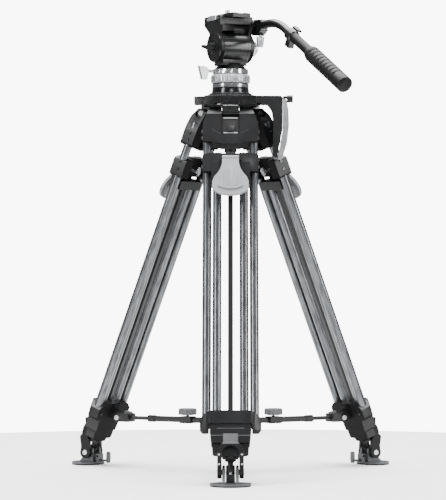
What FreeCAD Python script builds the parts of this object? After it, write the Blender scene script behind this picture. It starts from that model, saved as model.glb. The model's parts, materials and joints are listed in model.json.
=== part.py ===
"""Video tripod with a fluid head, built as separate named pieces.

Frame: millimetres, +Z up, the floor at z = 0, the origin under the middle of the
whole stand.  One leg points to -Y; the vertical pan axis stands a little behind
the origin because a three-legged stance is not centred on its own axis.
"""
import FreeCAD, Part
import os
import re
import Sketcher
from FreeCAD import Placement, Rotation, Vector

DIMENSIONS = {
    # Leg geometry, measured from the hinge pin that joins a leg to the shoulder.
    "pivot_radius": 45.6,
    "leg_lean": 22.1,
    "leg_length": 746,
    "foot_height": 26,
    "tube_radius": 8.5,
    "tube_wall": 1.2,
    "tube_spread": 45.6,
    "inner_spread": 26,
    "inner_offset": 6,
    "slide_fit": 0.08,
    "part_gap": 0.5,
    # Knuckle, the casting at the top of a leg.
    "knuckle_top": 8,
    "knuckle_length": 70,
    "knuckle_half": 55,
    "knuckle_crown": 41,
    "knuckle_front": 15,
    "knuckle_back": 13,
    "lug_half": 17,
    "lug_radius": 13,
    "latch_top": 16,
    "latch_height": 37,
    "pin_radius": 5,
    # Pedal bracket and the release pedal.
    "bracket_top": 101,
    "bracket_height": 34,
    "bracket_half": 55,
    "bracket_front": 16,
    "bracket_back": 14,
    "skirt_half": 38,
    "skirt_drop": 27,
    "skirt_thick": 3,
    "pedal_neck": 16.5,
    "pedal_half": 35.5,
    "pedal_length": 91,
    "pedal_thick": 6,
    "pedal_drop": 4.5,
    "pedal_lean": 9,
    "pedal_pin_radius": 2.5,
    "rod_half": 5,
    "rod_thick": 6,
    # Slider, collars and foot casting along the leg.
    "slider_top": 142,
    "slider_height": 18,
    "slider_half": 40,
    "collar_top": 629,
    "collar_height": 26,
    "collar_lobe": 36,
    "collar_half": 58,
    "collar_front": 21,
    "collar_back": 13,
    "lower_collar_height": 37,
    "lower_collar_half": 39.5,
    "lower_collar_foot": 36.5,
    "lower_collar_front": 13,
    "casting_height": 18,
    "casting_half": 34,
    "casting_front": 7.5,
    "casting_back": 13,
    "lower_tube_top": 232,
    # Spike and its rubber boot.
    "spike_radius": 5.3,
    "spike_hex": 21.6,
    "boot_radius": 8.5,
    "boot_length": 14,
    "tip_radius": 4,
    # Yoke and foot plate.
    "arm_inner": 16.6,
    "arm_thick": 8.4,
    "yoke_rise": 68,
    "cap_width": 28,
    "cap_height": 20,
    "eye_radius": 11.75,
    "foot_pin_radius": 5.2,
    "ear_inner": 10,
    "ear_thick": 5.7,
    "plate_radius": 39,
    "plate_shift": 2,
    "plate_thick": 6,
    "sole_thick": 2.5,
    "plate_chord": 18.5,
    "plate_back": 20,
    "lever_shaft_radius": 2.5,
    # Mid-level spreader.
    "spreader_pin_drop": 651,
    "spreader_pin_inset": 33,
    "spreader_lug_half": 10,
    "spreader_lug_radius": 9,
    "spreader_lug_hole": 7,
    "rod_radius": 4,
    "arm_radius": 6,
    "arm_reach": 192,
    "rod_start": 95,
    "fork_length": 28,
    "hub_radius": 26,
    "hub_height": 22,
    "knob_reach": 100,
    "knob_radius": 18.5,
    "knob_height": 12.5,
    # Shoulder with the levelling bowl.
    "shoulder_rise": 34,
    "deck_thick": 20,
    "deck_radius": 56,
    "panel_half": 51.5,
    "panel_reach": 62,
    "rim_height": 6,
    "rim_radius": 42,
    "bowl_radius": 37.5,
    "bowl_gap": 0.3,
    "rod_down_radius": 5,
    # Carry handle.
    "handle_reach": 104,
    "handle_drop": 124,
    "handle_depth": 22,
    "handle_place": 35,
    # Head: heights above the shoulder deck.
    "flange_base": 16,
    "ring_base": 26,
    "ring_height": 17,
    "ring_radius": 38.5,
    "base_base": 44,
    "base_radius": 35.5,
    "base_height": 10,
    "head_yaw": 30,
    "drum_height": 98,
    "drum_radius": 31,
    "drum_half": 30,
    "ear_plate": 7,
    "journal_radius": 12,
    "platform_base": 143,
    "platform_top": 159,
    "platform_front": 40,
    "platform_back": 24,
    "ear_waist": 19,
    "crown_width": 28,
    "housing_length": 44,
    "housing_height": 15,
    "housing_place": 6,
    "housing_gap": 1.2,
    "plate_half_width": 20,
    "plate_half_length": 51,
    "plate_height": 8,
    "screw_radius": 4.76,
    "screw_height": 10,
    "screw_neck_radius": 4,
    # Pan bar.
    "bar_radius": 8.5,
    "bar_place": 50,
    "bar_height": 143,
    "bar_bend_at": 99,
    "bar_slope": 29.5,
    "bar_bend_radius": 110,
    "bar_straight": 150,
    "sleeve_wall": 1.5,
    "grip_radius": 16,
    "grip_length": 150,
    "rib_depth": 0.8,
}

# Sizes that follow from the driving ones.
PIVOT_HEIGHT = "(foot_height + leg_length * cos(leg_lean) - inner_offset * sin(leg_lean))"
STANCE = "(pivot_radius + leg_length * sin(leg_lean) + inner_offset * cos(leg_lean))"
AXIS_Y = f"(({STANCE} + plate_shift) / 4)"
DECK_HEIGHT = f"({PIVOT_HEIGHT} + shoulder_rise)"
PIN_REACH = ("(pivot_radius + spreader_pin_drop * sin(leg_lean)"
             " - spreader_pin_inset * cos(leg_lean))")
PIN_HEIGHT = (f"({PIVOT_HEIGHT} - spreader_pin_drop * cos(leg_lean)"
              " - spreader_pin_inset * sin(leg_lean))")
COLLAR_FOOT = "(collar_top + collar_height)"
LOWER_COLLAR_TOP = f"({COLLAR_FOOT} + part_gap)"
LOWER_COLLAR_FOOT = f"({LOWER_COLLAR_TOP} + lower_collar_height)"
CASTING_TOP = f"({LOWER_COLLAR_FOOT} + part_gap)"
CASTING_FOOT = f"({CASTING_TOP} + casting_height)"
BRACKET_FOOT = "(bracket_top + bracket_height)"
PEDAL_PIN_Y = "(bracket_front + 2.6 + 3 * cos(pedal_lean) + 4 * sin(pedal_lean))"
PEDAL_PIN_Z = "(-bracket_top - pedal_drop + 3 * sin(pedal_lean) - 4 * cos(pedal_lean))"
EAR_FACE = "(drum_half + part_gap)"
BEND_SETBACK = "(bar_bend_radius * tan(bar_slope / 2))"

LEGS = {"front": -90, "right": 30, "left": 150}
TURN = {"x": Rotation(Vector(0, 1, 0), 90), "y": Rotation(Vector(1, 0, 0), -90), "z": Rotation()}
PLANE_TURN = {"XY": (0, 0, 1), "XZ": (0, 1, 0), "YZ": (1, 0, 0)}

doc = FreeCAD.newDocument("video_tripod")
sheet = doc.addObject("Spreadsheet::Sheet", "Dims")
for row, (alias, number) in enumerate(DIMENSIONS.items(), start=1):
    sheet.set(f"A{row}", alias.replace("_", " "))
    sheet.set(f"B{row}", str(number))
    sheet.setAlias(f"B{row}", alias)
doc.recompute()

nodes = []


def ref(text):
    """Turn a size written with the sheet's names into an expression."""
    return re.sub(r"[a-z]\w*", lambda word: "Dims." + word.group() if word.group() in DIMENSIONS
                  else word.group(), str(text))


def number(text):
    """Work a size out as a number."""
    return float(sheet.evalExpression(ref(text)))


def bind(obj, **settings):
    """Bind properties of an object to sizes; a double underscore stands for a dot."""
    for name, text in settings.items():
        obj.setExpression(name.replace("__", "."), ref(text))
    return obj


def at(obj, place):
    """Bind an object's position."""
    x, y, z = place
    return bind(obj, Placement__Base__x=x, Placement__Base__y=y, Placement__Base__z=z)


def block(name, size, middle):
    """A rectangular block about a middle point."""
    obj = doc.addObject("Part::Box", name)
    bind(obj, Length=size[0], Width=size[1], Height=size[2])
    return at(obj, [f"({m}) - ({s}) / 2" for m, s in zip(middle, size)])


def bar(name, axis, radius, start, length):
    """A round bar along +x, +y or +z from a start point."""
    obj = doc.addObject("Part::Cylinder", name)
    obj.Placement = Placement(Vector(), TURN[axis])
    bind(obj, Radius=radius, Height=length)
    return at(obj, start)


def cone(name, radius_low, radius_high, start, length):
    """An upright cone frustum from a start point."""
    obj = doc.addObject("Part::Cone", name)
    bind(obj, Radius1=radius_low, Radius2=radius_high, Height=length)
    return at(obj, start)


def ball(name, radius, middle):
    """A ball about a middle point."""
    obj = doc.addObject("Part::Sphere", name)
    bind(obj, Radius=radius)
    return at(obj, middle)


def outline(body, name, plane, points):
    """A closed sketch of straight edges on one of the body's own planes."""
    sketch = body.newObject("Sketcher::SketchObject", name)
    support = [part for part in body.Origin.OriginFeatures if part.Role == plane + "_Plane"][0]
    sketch.AttachmentSupport = [(support, "")]
    sketch.MapMode = "FlatFace"
    corners = [Vector(number(u), number(v), 0) for u, v in points]
    count = len(corners)
    for index in range(count):
        sketch.addGeometry(Part.LineSegment(corners[index], corners[(index + 1) % count]), False)
    for index in range(count):
        sketch.addConstraint(Sketcher.Constraint("Coincident", index, 2, (index + 1) % count, 1))
    for index, (point, corner) in enumerate(zip(points, corners)):
        for kind, letter, text, size in (("DistanceX", "u", point[0], corner.x),
                                         ("DistanceY", "v", point[1], corner.y)):
            which = sketch.addConstraint(Sketcher.Constraint(kind, -1, 1, index, 1, size))
            sketch.renameConstraint(which, f"{letter}{index}")
            sketch.setExpression(f"Constraints.{letter}{index}", ref(text))
    return sketch


def prism(name, plane, points, start, length, rounding=None):
    """A padded outline: from start along the plane's positive normal axis.

    rounding is (radius, test): the edges for which test(edge) holds are filleted.
    """
    body = doc.addObject("PartDesign::Body", name)
    pad = body.newObject("PartDesign::Pad", name + "_pad")
    sketch = outline(body, name + "_sketch", plane, points)
    pad.Profile = sketch
    bind(pad, Length=length)
    body.Tip = pad
    x, y, z = PLANE_TURN[plane]
    shift = f"({start}) + ({length})" if plane == "XZ" else start
    at(body, (f"{x} * ({shift})", f"{y} * ({shift})", f"{z} * ({shift})"))
    if rounding:
        sketch.recompute()
        pad.recompute()
        radius, test = rounding
        chosen = [f"Edge{index}" for index, edge in enumerate(pad.Shape.Edges, start=1) if test(edge)]
        fillet = body.newObject("PartDesign::Fillet", name + "_round")
        fillet.Base = (pad, chosen)
        bind(fillet, Radius=radius)
        body.Tip = fillet
    return body


def lathe(name, points):
    """A profile of (radius, height) points turned about the z axis."""
    body = doc.addObject("PartDesign::Body", name)
    sketch = outline(body, name + "_sketch", "XZ", points)
    turn = body.newObject("PartDesign::Revolution", name + "_turn")
    turn.Profile = sketch
    turn.ReferenceAxis = (sketch, ["V_Axis"])
    turn.Angle = 360
    body.Tip = turn
    return body


def join(name, pieces):
    """Fuse pieces into one solid."""
    obj = doc.addObject("Part::MultiFuse", name)
    obj.Shapes = pieces
    obj.Refine = True
    return obj


def carve(name, base, tools):
    """Cut tools out of a base."""
    tool = tools[0] if len(tools) == 1 else join(name + "_tools", tools)
    obj = doc.addObject("Part::Cut", name)
    obj.Base = base
    obj.Tool = tool
    obj.Refine = True
    return obj


def gather(name, pieces):
    """Keep pieces as separate solids of one group."""
    obj = doc.addObject("Part::Compound", name)
    obj.Links = pieces
    return obj


def placed(name, piece, place, axis=(0, 0, 1), angle="0"):
    """The piece turned about an axis through its own origin, then moved."""
    obj = gather(name, [piece])
    ax, ay, az = axis
    x, y, z = place
    return bind(obj, Placement=f"create(<<placement>>; create(<<vector>>; {x}; {y}; {z});"
                               f" create(<<rotation>>; create(<<vector>>; {ax}; {ay}; {az}); {angle}))")


def frame(name, place, turns):
    """A marker whose placement the pieces of one sub-assembly share."""
    obj = doc.addObject("App::FeaturePython", name)
    obj.addProperty("App::PropertyPlacement", "Spot")
    x, y, z = place
    text = f"create(<<placement>>; create(<<vector>>; {x}; {y}; {z}); create(<<rotation>>))"
    for axis, angle in turns:
        ax, ay, az = axis
        text += (" * create(<<placement>>; create(<<vector>>; 0; 0; 0);"
                 f" create(<<rotation>>; create(<<vector>>; {ax}; {ay}; {az}); {angle}))")
    return bind(obj, Spot=text)


def node(label, piece, where):
    """Name a finished piece and set it in its frame."""
    holder = gather(label + "_in_place", [piece])
    holder.Label = label
    holder.setExpression("Placement", where.Name + ".Spot")
    nodes.append(holder)
    return holder


def along_y(edge):
    """Whether an edge is straight and runs along y."""
    direction = edge.tangentAt(edge.FirstParameter)
    return len(edge.Vertexes) == 2 and abs(direction.y) > 0.99


def along_x(edge):
    """Whether an edge is straight and runs along x."""
    direction = edge.tangentAt(edge.FirstParameter)
    return len(edge.Vertexes) == 2 and abs(direction.x) > 0.99


def pair(make):
    """Make a piece on both sides of the leg's middle plane."""
    return [make("a", "-1"), make("b", "1")]


def down(name, radius, place, top, length):
    """A round bar down the leg: place is (x, y), top the distance down from the hinge pin."""
    return bar(name, "z", radius, (place[0], place[1], f"-({top}) - ({length})"), length)


# ---------------------------------------------------------------- leg pieces
# Leg axes: x across the leg, y outwards, z up the leg, origin on the hinge pin.


def knuckle(tag, where):
    """Top casting: holds both outer tubes and the hinge pin, open in the middle for the lug."""
    points = [("-knuckle_crown", "knuckle_top"), ("knuckle_crown", "knuckle_top"),
              ("knuckle_half - 2", "-26"), ("knuckle_half", "-38"), ("knuckle_half", "-knuckle_length + 5"),
              ("knuckle_half - 4", "-knuckle_length"), ("lug_half + 12", "-knuckle_length - 1"),
              ("lug_half", "-knuckle_length - 5"), ("-lug_half", "-knuckle_length - 5"),
              ("-lug_half - 12", "-knuckle_length - 1"), ("-knuckle_half + 4", "-knuckle_length"),
              ("-knuckle_half", "-knuckle_length + 5"), ("-knuckle_half", "-38"),
              ("-knuckle_half + 2", "-26")]
    body = prism(tag + "_knuckle_shell", "XZ", points, "-knuckle_back", "knuckle_back + knuckle_front",
                 ("3", along_y))
    slot = block(tag + "_knuckle_slot", ("2 * lug_half + 2 * part_gap", "60", "62"),
                 ("0", "0", "8 - 31"))
    slope = prism(tag + "_knuckle_slope", "YZ",
                  [("knuckle_front + 1", "-12"), ("knuckle_front + 1", "knuckle_top + 1"),
                   ("knuckle_front - 8", "knuckle_top + 1"), ("knuckle_front", "-10")],
                  "-60", "120")
    hollow = block(tag + "_knuckle_hollow", ("50", "knuckle_back", "30"),
                   ("0", "-knuckle_back / 2 - 1", "-54"))
    sockets = pair(lambda side, sign: down(tag + "_knuckle_socket_" + side, "tube_radius + slide_fit",
                                           (f"{sign} * tube_spread", "0"), "20", "60"))
    wells = pair(lambda side, sign: bar(tag + "_knuckle_well_" + side, "x", "9",
                                        (f"{sign} * (knuckle_crown + 4) - 5", "0", "0"), "10"))
    bore = bar(tag + "_knuckle_bore", "x", "pin_radius + slide_fit", ("-70", "0", "0"), "140")
    casting = carve(tag + "_knuckle_casting", body, [slot, slope, hollow, bore] + sockets + wells)
    pins = pair(lambda side, sign: bar(tag + "_hinge_pin_" + side, "x", "pin_radius",
                                       (f"{sign} * (knuckle_crown + lug_half) / 2"
                                        " - (knuckle_crown - lug_half) / 2 + 0.5", "0", "0"),
                                       "knuckle_crown - lug_half - 1"))
    node(tag + "_knuckle", gather(tag + "_knuckle_group", [casting] + pins), where)


def latch(tag, where):
    """Angle latch in the knuckle's channel, with its thumb button."""
    plate = block(tag + "_latch_plate", ("2 * lug_half", "9", "latch_height"),
                  ("0", "8", "-latch_top - latch_height / 2"))
    button = block(tag + "_latch_button", ("14", "5", "11"), ("0", "13.5", "-43"))
    node(tag + "_angle_latch", join(tag + "_latch_body", [plate, button]), where)


def upper_tubes(tag, where):
    """Two outer tubes and the flat release rod between them."""
    tubes = []
    for side, sign in (("a", "-1"), ("b", "1")):
        place = (f"{sign} * tube_spread", "0")
        solid = down(tag + "_outer_rod_" + side, "tube_radius", place, "20.5", f"{COLLAR_FOOT} - 22")
        bore = down(tag + "_outer_bore_" + side, "tube_radius - tube_wall", place, "20", COLLAR_FOOT)
        tubes.append(carve(tag + "_outer_tube_" + side, solid, [bore]))
    strip = block(tag + "_release_strip", ("2 * rod_half", "rod_thick", f"collar_top - {BRACKET_FOOT} + 8"),
                  ("0", "inner_offset", f"-(collar_top + {BRACKET_FOOT}) / 2"))
    node(tag + "_upper_tubes", gather(tag + "_upper_tubes_group", tubes + [strip]), where)


def bracket(tag, where):
    """Cross casting that carries the release pedal, with a skirt behind the pedal."""
    half, front, back = "bracket_half", "bracket_front", "bracket_back"
    points = [(f"-{half}", "2"), (f"-{half} + 14", "6"), ("-20", "6"), ("20", "6"), (f"{half} - 14", "6"),
              (half, "2"), (half, "-bracket_height"), (f"-{half}", "-bracket_height")]
    shifted = [(u, f"{v} - bracket_top") for u, v in points]
    body = prism(tag + "_bracket_block", "XZ", shifted, f"-{back}", f"{back} + {front}", ("4", along_y))
    skirt = block(tag + "_bracket_skirt", ("2 * skirt_half", "skirt_thick", "skirt_drop + 20"),
                  ("0", f"{front} + 0.5", f"-{BRACKET_FOOT} - skirt_drop / 2 + 10"))
    window = block(tag + "_bracket_window", ("56", f"{back} + 4", "bracket_height + 30"),
                   ("0", f"-{back} / 2 - 2", f"-bracket_top - bracket_height / 2"))
    recess = block(tag + "_bracket_recess", ("2 * pedal_neck + 2", "4", "70"),
                   ("0", f"{front} - 1", f"-bracket_top - 25"))
    tubes = pair(lambda side, sign: down(tag + "_bracket_bore_" + side, "tube_radius + slide_fit",
                                         (f"{sign} * tube_spread", "0"), "80", "80"))
    rod_hole = block(tag + "_bracket_rod_hole", ("2 * rod_half + 0.4", "rod_thick + 0.4", "40"),
                     ("0", "inner_offset", f"-{BRACKET_FOOT}"))
    ears = pair(lambda side, sign: block(tag + "_bracket_ear_" + side, ("3", "14", "13"),
                                         (f"{sign} * (pedal_neck + 2.1)", f"{PEDAL_PIN_Y} - 3", PEDAL_PIN_Z)))
    pin = bar(tag + "_pedal_pin", "x", "pedal_pin_radius", ("-pedal_neck - 3", PEDAL_PIN_Y, PEDAL_PIN_Z),
              "2 * pedal_neck + 6")
    cut = carve(tag + "_bracket_cut", join(tag + "_bracket_solid", [body, skirt]),
                [window, recess, rod_hole] + tubes)
    casting = join(tag + "_bracket_casting", [cut, pin] + ears)
    tab = prism(tag + "_bracket_tab", "XZ",
                [("-6", "-bracket_top - 14"), ("2", "-bracket_top - 8"), ("8", "-bracket_top - 20"),
                 ("2", "-bracket_top - 27")], f"-{back} - 4", "4")
    stalk = block(tag + "_bracket_stalk", ("6", f"{back} + 1", "6"),
                  ("0", f"-({back} + 1) / 2", "-bracket_top - 18"))
    tongue = join(tag + "_bracket_tongue", [tab, stalk])
    node(tag + "_pedal_bracket", gather(tag + "_bracket_group", [casting, tongue]), where)


def pedal(tag, where):
    """Foot pedal: narrow neck, flared and rounded at the bottom, leaning away from the leg."""
    neck, half, length = "pedal_neck", "pedal_half", "pedal_length"
    right = [(neck, "0"), (neck, "-18"), (f"{neck} + 3", "-30"), (f"{neck} + 8", "-40"),
             (f"{neck} + 15", "-49"), (half, f"-{length} * 0.66"), (half, f"-{length} * 0.78"),
             (f"{half} * 0.86", f"-{length} * 0.89"), (f"{half} * 0.6", f"-{length} * 0.96"),
             (f"{half} * 0.3", f"-{length} * 0.99")]
    points = right + [("0", f"-{length}")] + [(f"-({u})", v) for u, v in reversed(right)]
    plate = prism(tag + "_pedal_plate", "XZ", points, "0", "pedal_thick")
    barrel = bar(tag + "_pedal_barrel", "x", "4.5", (f"-{neck}", "3", "-4"), f"2 * {neck}")
    hole = bar(tag + "_pedal_hole", "x", "pedal_pin_radius + slide_fit", ("-30", "3", "-4"), "60")
    body = carve(tag + "_pedal_body", join(tag + "_pedal_solid", [plate, barrel]), [hole])
    ribs = [block(f"{tag}_pedal_rib_{index}", ("1.6", "1.4", "40"),
                  (f"{index - 3} * 6", "pedal_thick + 0.2", "-52"))
            for index in range(7)]
    lip = prism(tag + "_pedal_lip", "XZ",
                [("-25", "-69"), ("-12", "-73.5"), ("0", "-75"), ("12", "-73.5"), ("25", "-69"),
                 ("24", "-72"), ("12", "-77"), ("0", "-78.5"), ("-12", "-77"), ("-24", "-72")],
                "pedal_thick - 1", "4")
    leaning = placed(tag + "_pedal_leaning", join(tag + "_pedal_whole", [body] + ribs + [lip]),
                     ("0", "bracket_front + 2.6", "-bracket_top - pedal_drop"), (1, 0, 0), "pedal_lean")
    node(tag + "_pedal", leaning, where)


def upper_collar(tag, where):
    """Collar at the bottom of the outer tubes: the middle tubes slide through it."""
    top = "collar_top"
    points = [("-collar_half", "-12"), ("-collar_half + 12", "-2"), ("-34", "0"), ("34", "0"),
              ("collar_half - 12", "-2"), ("collar_half", "-12"), ("collar_half", "-collar_lobe + 6"),
              ("collar_half - 5", "-collar_lobe"), ("lower_collar_half + 1.5", "-collar_lobe"),
              ("lower_collar_half + 1.5", "-collar_height"), ("-lower_collar_half - 1.5", "-collar_height"),
              ("-lower_collar_half - 1.5", "-collar_lobe"), ("-collar_half + 5", "-collar_lobe"),
              ("-collar_half", "-collar_lobe + 6")]
    shifted = [(u, f"{v} - {top}") for u, v in points]
    body = prism(tag + "_collar_block", "XZ", shifted, "-collar_back", "collar_back + collar_front",
                 ("2", along_y))
    lug_arm = block(tag + "_collar_lug_arm", ("2 * spreader_lug_half", "spreader_pin_inset - 10",
                                              "2 * spreader_lug_radius"),
                    ("0", "-(spreader_pin_inset + 10) / 2", "-spreader_pin_drop"))
    lug_web = block(tag + "_collar_lug_web", ("2 * spreader_lug_half", "6", "30"),
                    ("0", "-collar_back - 1", "-spreader_pin_drop + 6"))
    lug_end = bar(tag + "_collar_lug_end", "x", "spreader_lug_radius",
                  ("-spreader_lug_half", "-spreader_pin_inset", "-spreader_pin_drop"),
                  "2 * spreader_lug_half")
    lug_hole = bar(tag + "_collar_lug_hole", "x", "spreader_lug_hole",
                   ("-30", "-spreader_pin_inset", "-spreader_pin_drop"), "60")
    outer = pair(lambda side, sign: down(tag + "_collar_socket_" + side, "tube_radius + slide_fit",
                                         (f"{sign} * tube_spread", "0"), "600", f"{COLLAR_FOOT} - 600"))
    inner = pair(lambda side, sign: down(tag + "_collar_slide_" + side, "tube_radius + slide_fit",
                                         (f"{sign} * inner_spread", "inner_offset"), "600", "80"))
    pocket = block(tag + "_collar_rod_pocket", ("2 * rod_half + 0.4", "rod_thick + 0.4", "12"),
                   ("0", "inner_offset", f"-{top}"))
    ends = pair(lambda side, sign: prism(
        tag + "_collar_end_" + side, "XY",
        [(f"{sign} * (collar_half + 1)", "collar_front + 1"),
         (f"{sign} * (collar_half - 20)", "collar_front + 1"),
         (f"{sign} * (collar_half - 12)", "collar_front - 6"),
         (f"{sign} * (collar_half + 1)", "collar_front - 14")],
        f"-{top} - 50", "60"))
    casting = carve(tag + "_collar_casting", join(tag + "_collar_solid", [body, lug_arm, lug_web, lug_end]),
                    outer + inner + ends + [pocket, lug_hole])
    node(tag + "_upper_collar", casting, where)


def middle_tubes(tag, where):
    """Two middle tubes with the slider block that guides them on the outer tubes."""
    pieces = []
    for side, sign in (("a", "-1"), ("b", "1")):
        place = (f"{sign} * inner_spread", "inner_offset")
        solid = down(tag + "_middle_rod_" + side, "tube_radius", place, "slider_top + 4",
                     f"{LOWER_COLLAR_FOOT} - slider_top - 8")
        bore = down(tag + "_middle_bore_" + side, "tube_radius - tube_wall", place, "slider_top",
                    LOWER_COLLAR_FOOT)
        pieces.append(carve(tag + "_middle_tube_" + side, solid, [bore]))
    body = block(tag + "_slider_block", ("2 * slider_half", "21", "slider_height"),
                 ("0", "0.5", "-slider_top - slider_height / 2"))
    fixed = pair(lambda side, sign: down(tag + "_slider_socket_" + side, "tube_radius + slide_fit",
                                         (f"{sign} * inner_spread", "inner_offset"), "slider_top + 3.5",
                                         "60"))
    guides = pair(lambda side, sign: down(tag + "_slider_guide_" + side, "tube_radius + slide_fit",
                                          (f"{sign} * tube_spread", "0"), "100", "100"))
    gate = block(tag + "_slider_gate", ("2 * rod_half + 2", "rod_thick + 2", "60"),
                 ("0", "inner_offset", "-slider_top"))
    pieces.append(carve(tag + "_slider", body, fixed + guides + [gate]))
    node(tag + "_middle_tubes", gather(tag + "_middle_group", pieces), where)


def lower_collar(tag, where):
    """Collar at the bottom of the middle tubes."""
    points = [("-lower_collar_half", "0"), ("lower_collar_half", "0"),
              ("lower_collar_half - 1", "-lower_collar_height * 0.45"),
              ("lower_collar_foot", "-lower_collar_height"), ("-lower_collar_foot", "-lower_collar_height"),
              ("-lower_collar_half + 1", "-lower_collar_height * 0.45")]
    shifted = [(u, f"{v} - {LOWER_COLLAR_TOP}") for u, v in points]
    body = prism(tag + "_lower_collar_block", "XZ", shifted, "inner_offset - collar_back - 3",
                 "collar_back + 3 + lower_collar_front", ("2", along_y))
    sockets = pair(lambda side, sign: down(tag + "_lower_collar_socket_" + side, "tube_radius + slide_fit",
                                           (f"{sign} * inner_spread", "inner_offset"), "600",
                                           f"{LOWER_COLLAR_FOOT} - 603"))
    slides = pair(lambda side, sign: down(tag + "_lower_collar_slide_" + side,
                                          "tube_radius - tube_wall",
                                          (f"{sign} * inner_spread", "inner_offset"), "600", "120"))
    casting = carve(tag + "_lower_collar_casting", body, sockets + slides)
    node(tag + "_lower_collar", casting, where)


def foot_casting(tag, where):
    """Bottom casting with the two lowest tubes, the spike, its hex collar, boot and ball tip."""
    front, back = "casting_front", "casting_back"
    points = [("-casting_half - 1", "0"), ("casting_half + 1", "0"), ("casting_half", "-casting_height + 2"),
              ("casting_half - 4", "-casting_height"), ("18", "-casting_height"),
              ("14", "-casting_height - 6"), ("-14", "-casting_height - 6"), ("-18", "-casting_height"),
              ("-casting_half + 4", "-casting_height"), ("-casting_half", "-casting_height + 2")]
    shifted = [(u, f"{v} - {CASTING_TOP}") for u, v in points]
    body = prism(tag + "_casting_block", "XZ", shifted, f"inner_offset - {back}", f"{back} + {front}",
                 ("1.5", along_y))
    sockets = pair(lambda side, sign: down(tag + "_casting_socket_" + side, "tube_radius - tube_wall",
                                           (f"{sign} * inner_spread", "inner_offset"), "600",
                                           f"{CASTING_FOOT} - 606"))
    casting = carve(tag + "_casting", body, sockets)
    tubes = pair(lambda side, sign: down(tag + "_lower_tube_" + side, "tube_radius - tube_wall - slide_fit",
                                         (f"{sign} * inner_spread", "inner_offset"), "lower_tube_top",
                                         f"{CASTING_FOOT} - lower_tube_top - 6.5"))
    foot = "leg_length"
    shaft = down(tag + "_spike_shaft", "spike_radius", ("0", "inner_offset"), f"{CASTING_FOOT} + 6", "20")
    collar = doc.addObject("Part::Prism", tag + "_spike_hex")
    collar.Polygon = 6
    bind(collar, Circumradius="spike_hex / 2", Height="6")
    at(collar, ("0", "inner_offset", f"-{foot} + 22"))
    boot = down(tag + "_spike_boot", "boot_radius", ("0", "inner_offset"), f"{foot} - 12", "boot_length")
    tip = ball(tag + "_spike_tip", "tip_radius", ("0", "inner_offset", f"-{foot} - 3"))
    spike = join(tag + "_spike", [shaft, collar, boot, tip])
    node(tag + "_foot_casting", gather(tag + "_foot_group", [casting, spike] + tubes), where)


# ---------------------------------------------------------------- foot pieces
# Foot axes: x across, y outwards, z up from the floor, origin under the foot pin.


def yoke(tag, where):
    """A wishbone that hangs the foot plate from the leg: its side outline cut to an arch, and a cap."""
    side_points = [("-eye_radius + 1", "foot_height"), ("-10", "foot_height + 14"),
                   ("-9.5", "foot_height + 28"),
                   ("-3.5", "foot_height + 36"), ("-4", "foot_height + 56"),
                   ("-2", "foot_height + yoke_rise"),
                   ("5", "foot_height + yoke_rise"), ("8", "foot_height + 54"), ("7.5", "foot_height + 38"),
                   ("12.5", "foot_height + 33"), ("9.5", "foot_height + 14"),
                   ("eye_radius - 1", "foot_height")]
    wide = "arm_inner + arm_thick"
    sheet_side = prism(tag + "_yoke_side", "YZ", side_points, f"-({wide}) - 1", f"2 * ({wide}) + 2",
                       ("2.5", along_x))
    eye = bar(tag + "_yoke_eye", "x", "eye_radius", (f"-({wide})", "0", "foot_height"), f"2 * ({wide})")
    outside = [(wide, "foot_height - eye_radius - 1"), (wide, "foot_height + 34"),
               (f"{wide} - 1.5", "foot_height + 43"), (f"{wide} - 5.5", "foot_height + 51"),
               (f"{wide} - 12", "foot_height + 58")]
    inside = [("arm_inner - 9", "foot_height + 49"), ("arm_inner - 3", "foot_height + 44"),
              ("arm_inner", "foot_height + 36"), ("arm_inner", "foot_height - eye_radius - 1")]
    half_arch = outside + [("0", "foot_height + 60"), ("0", "foot_height + 51")] + inside
    arch = [prism(f"{tag}_yoke_arch_{side}", "XZ", [(f"{sign} * ({u})", v) for u, v in half_arch],
                  "-eye_radius - 2", "2 * eye_radius + 4") for side, sign in (("a", "-1"), ("b", "1"))]
    shaped = doc.addObject("Part::Common", tag + "_yoke_shaped")
    shaped.Base = join(tag + "_yoke_outline", [sheet_side, eye])
    shaped.Tool = join(tag + "_yoke_arch", arch)
    cap = block(tag + "_yoke_cap", ("cap_width", "9", "cap_height"),
                ("0", "1.5", "foot_height + yoke_rise - 6"))
    pins = pair(lambda side, sign: bar(f"{tag}_foot_pin_{side}", "x", "foot_pin_radius",
                                       (f"{sign} * (ear_inner + arm_inner + arm_thick) / 2 - 8",
                                        "0", "foot_height"), "16"))
    node(tag + "_foot_yoke", join(tag + "_yoke_whole", [shaped, cap] + pins), where)


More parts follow.
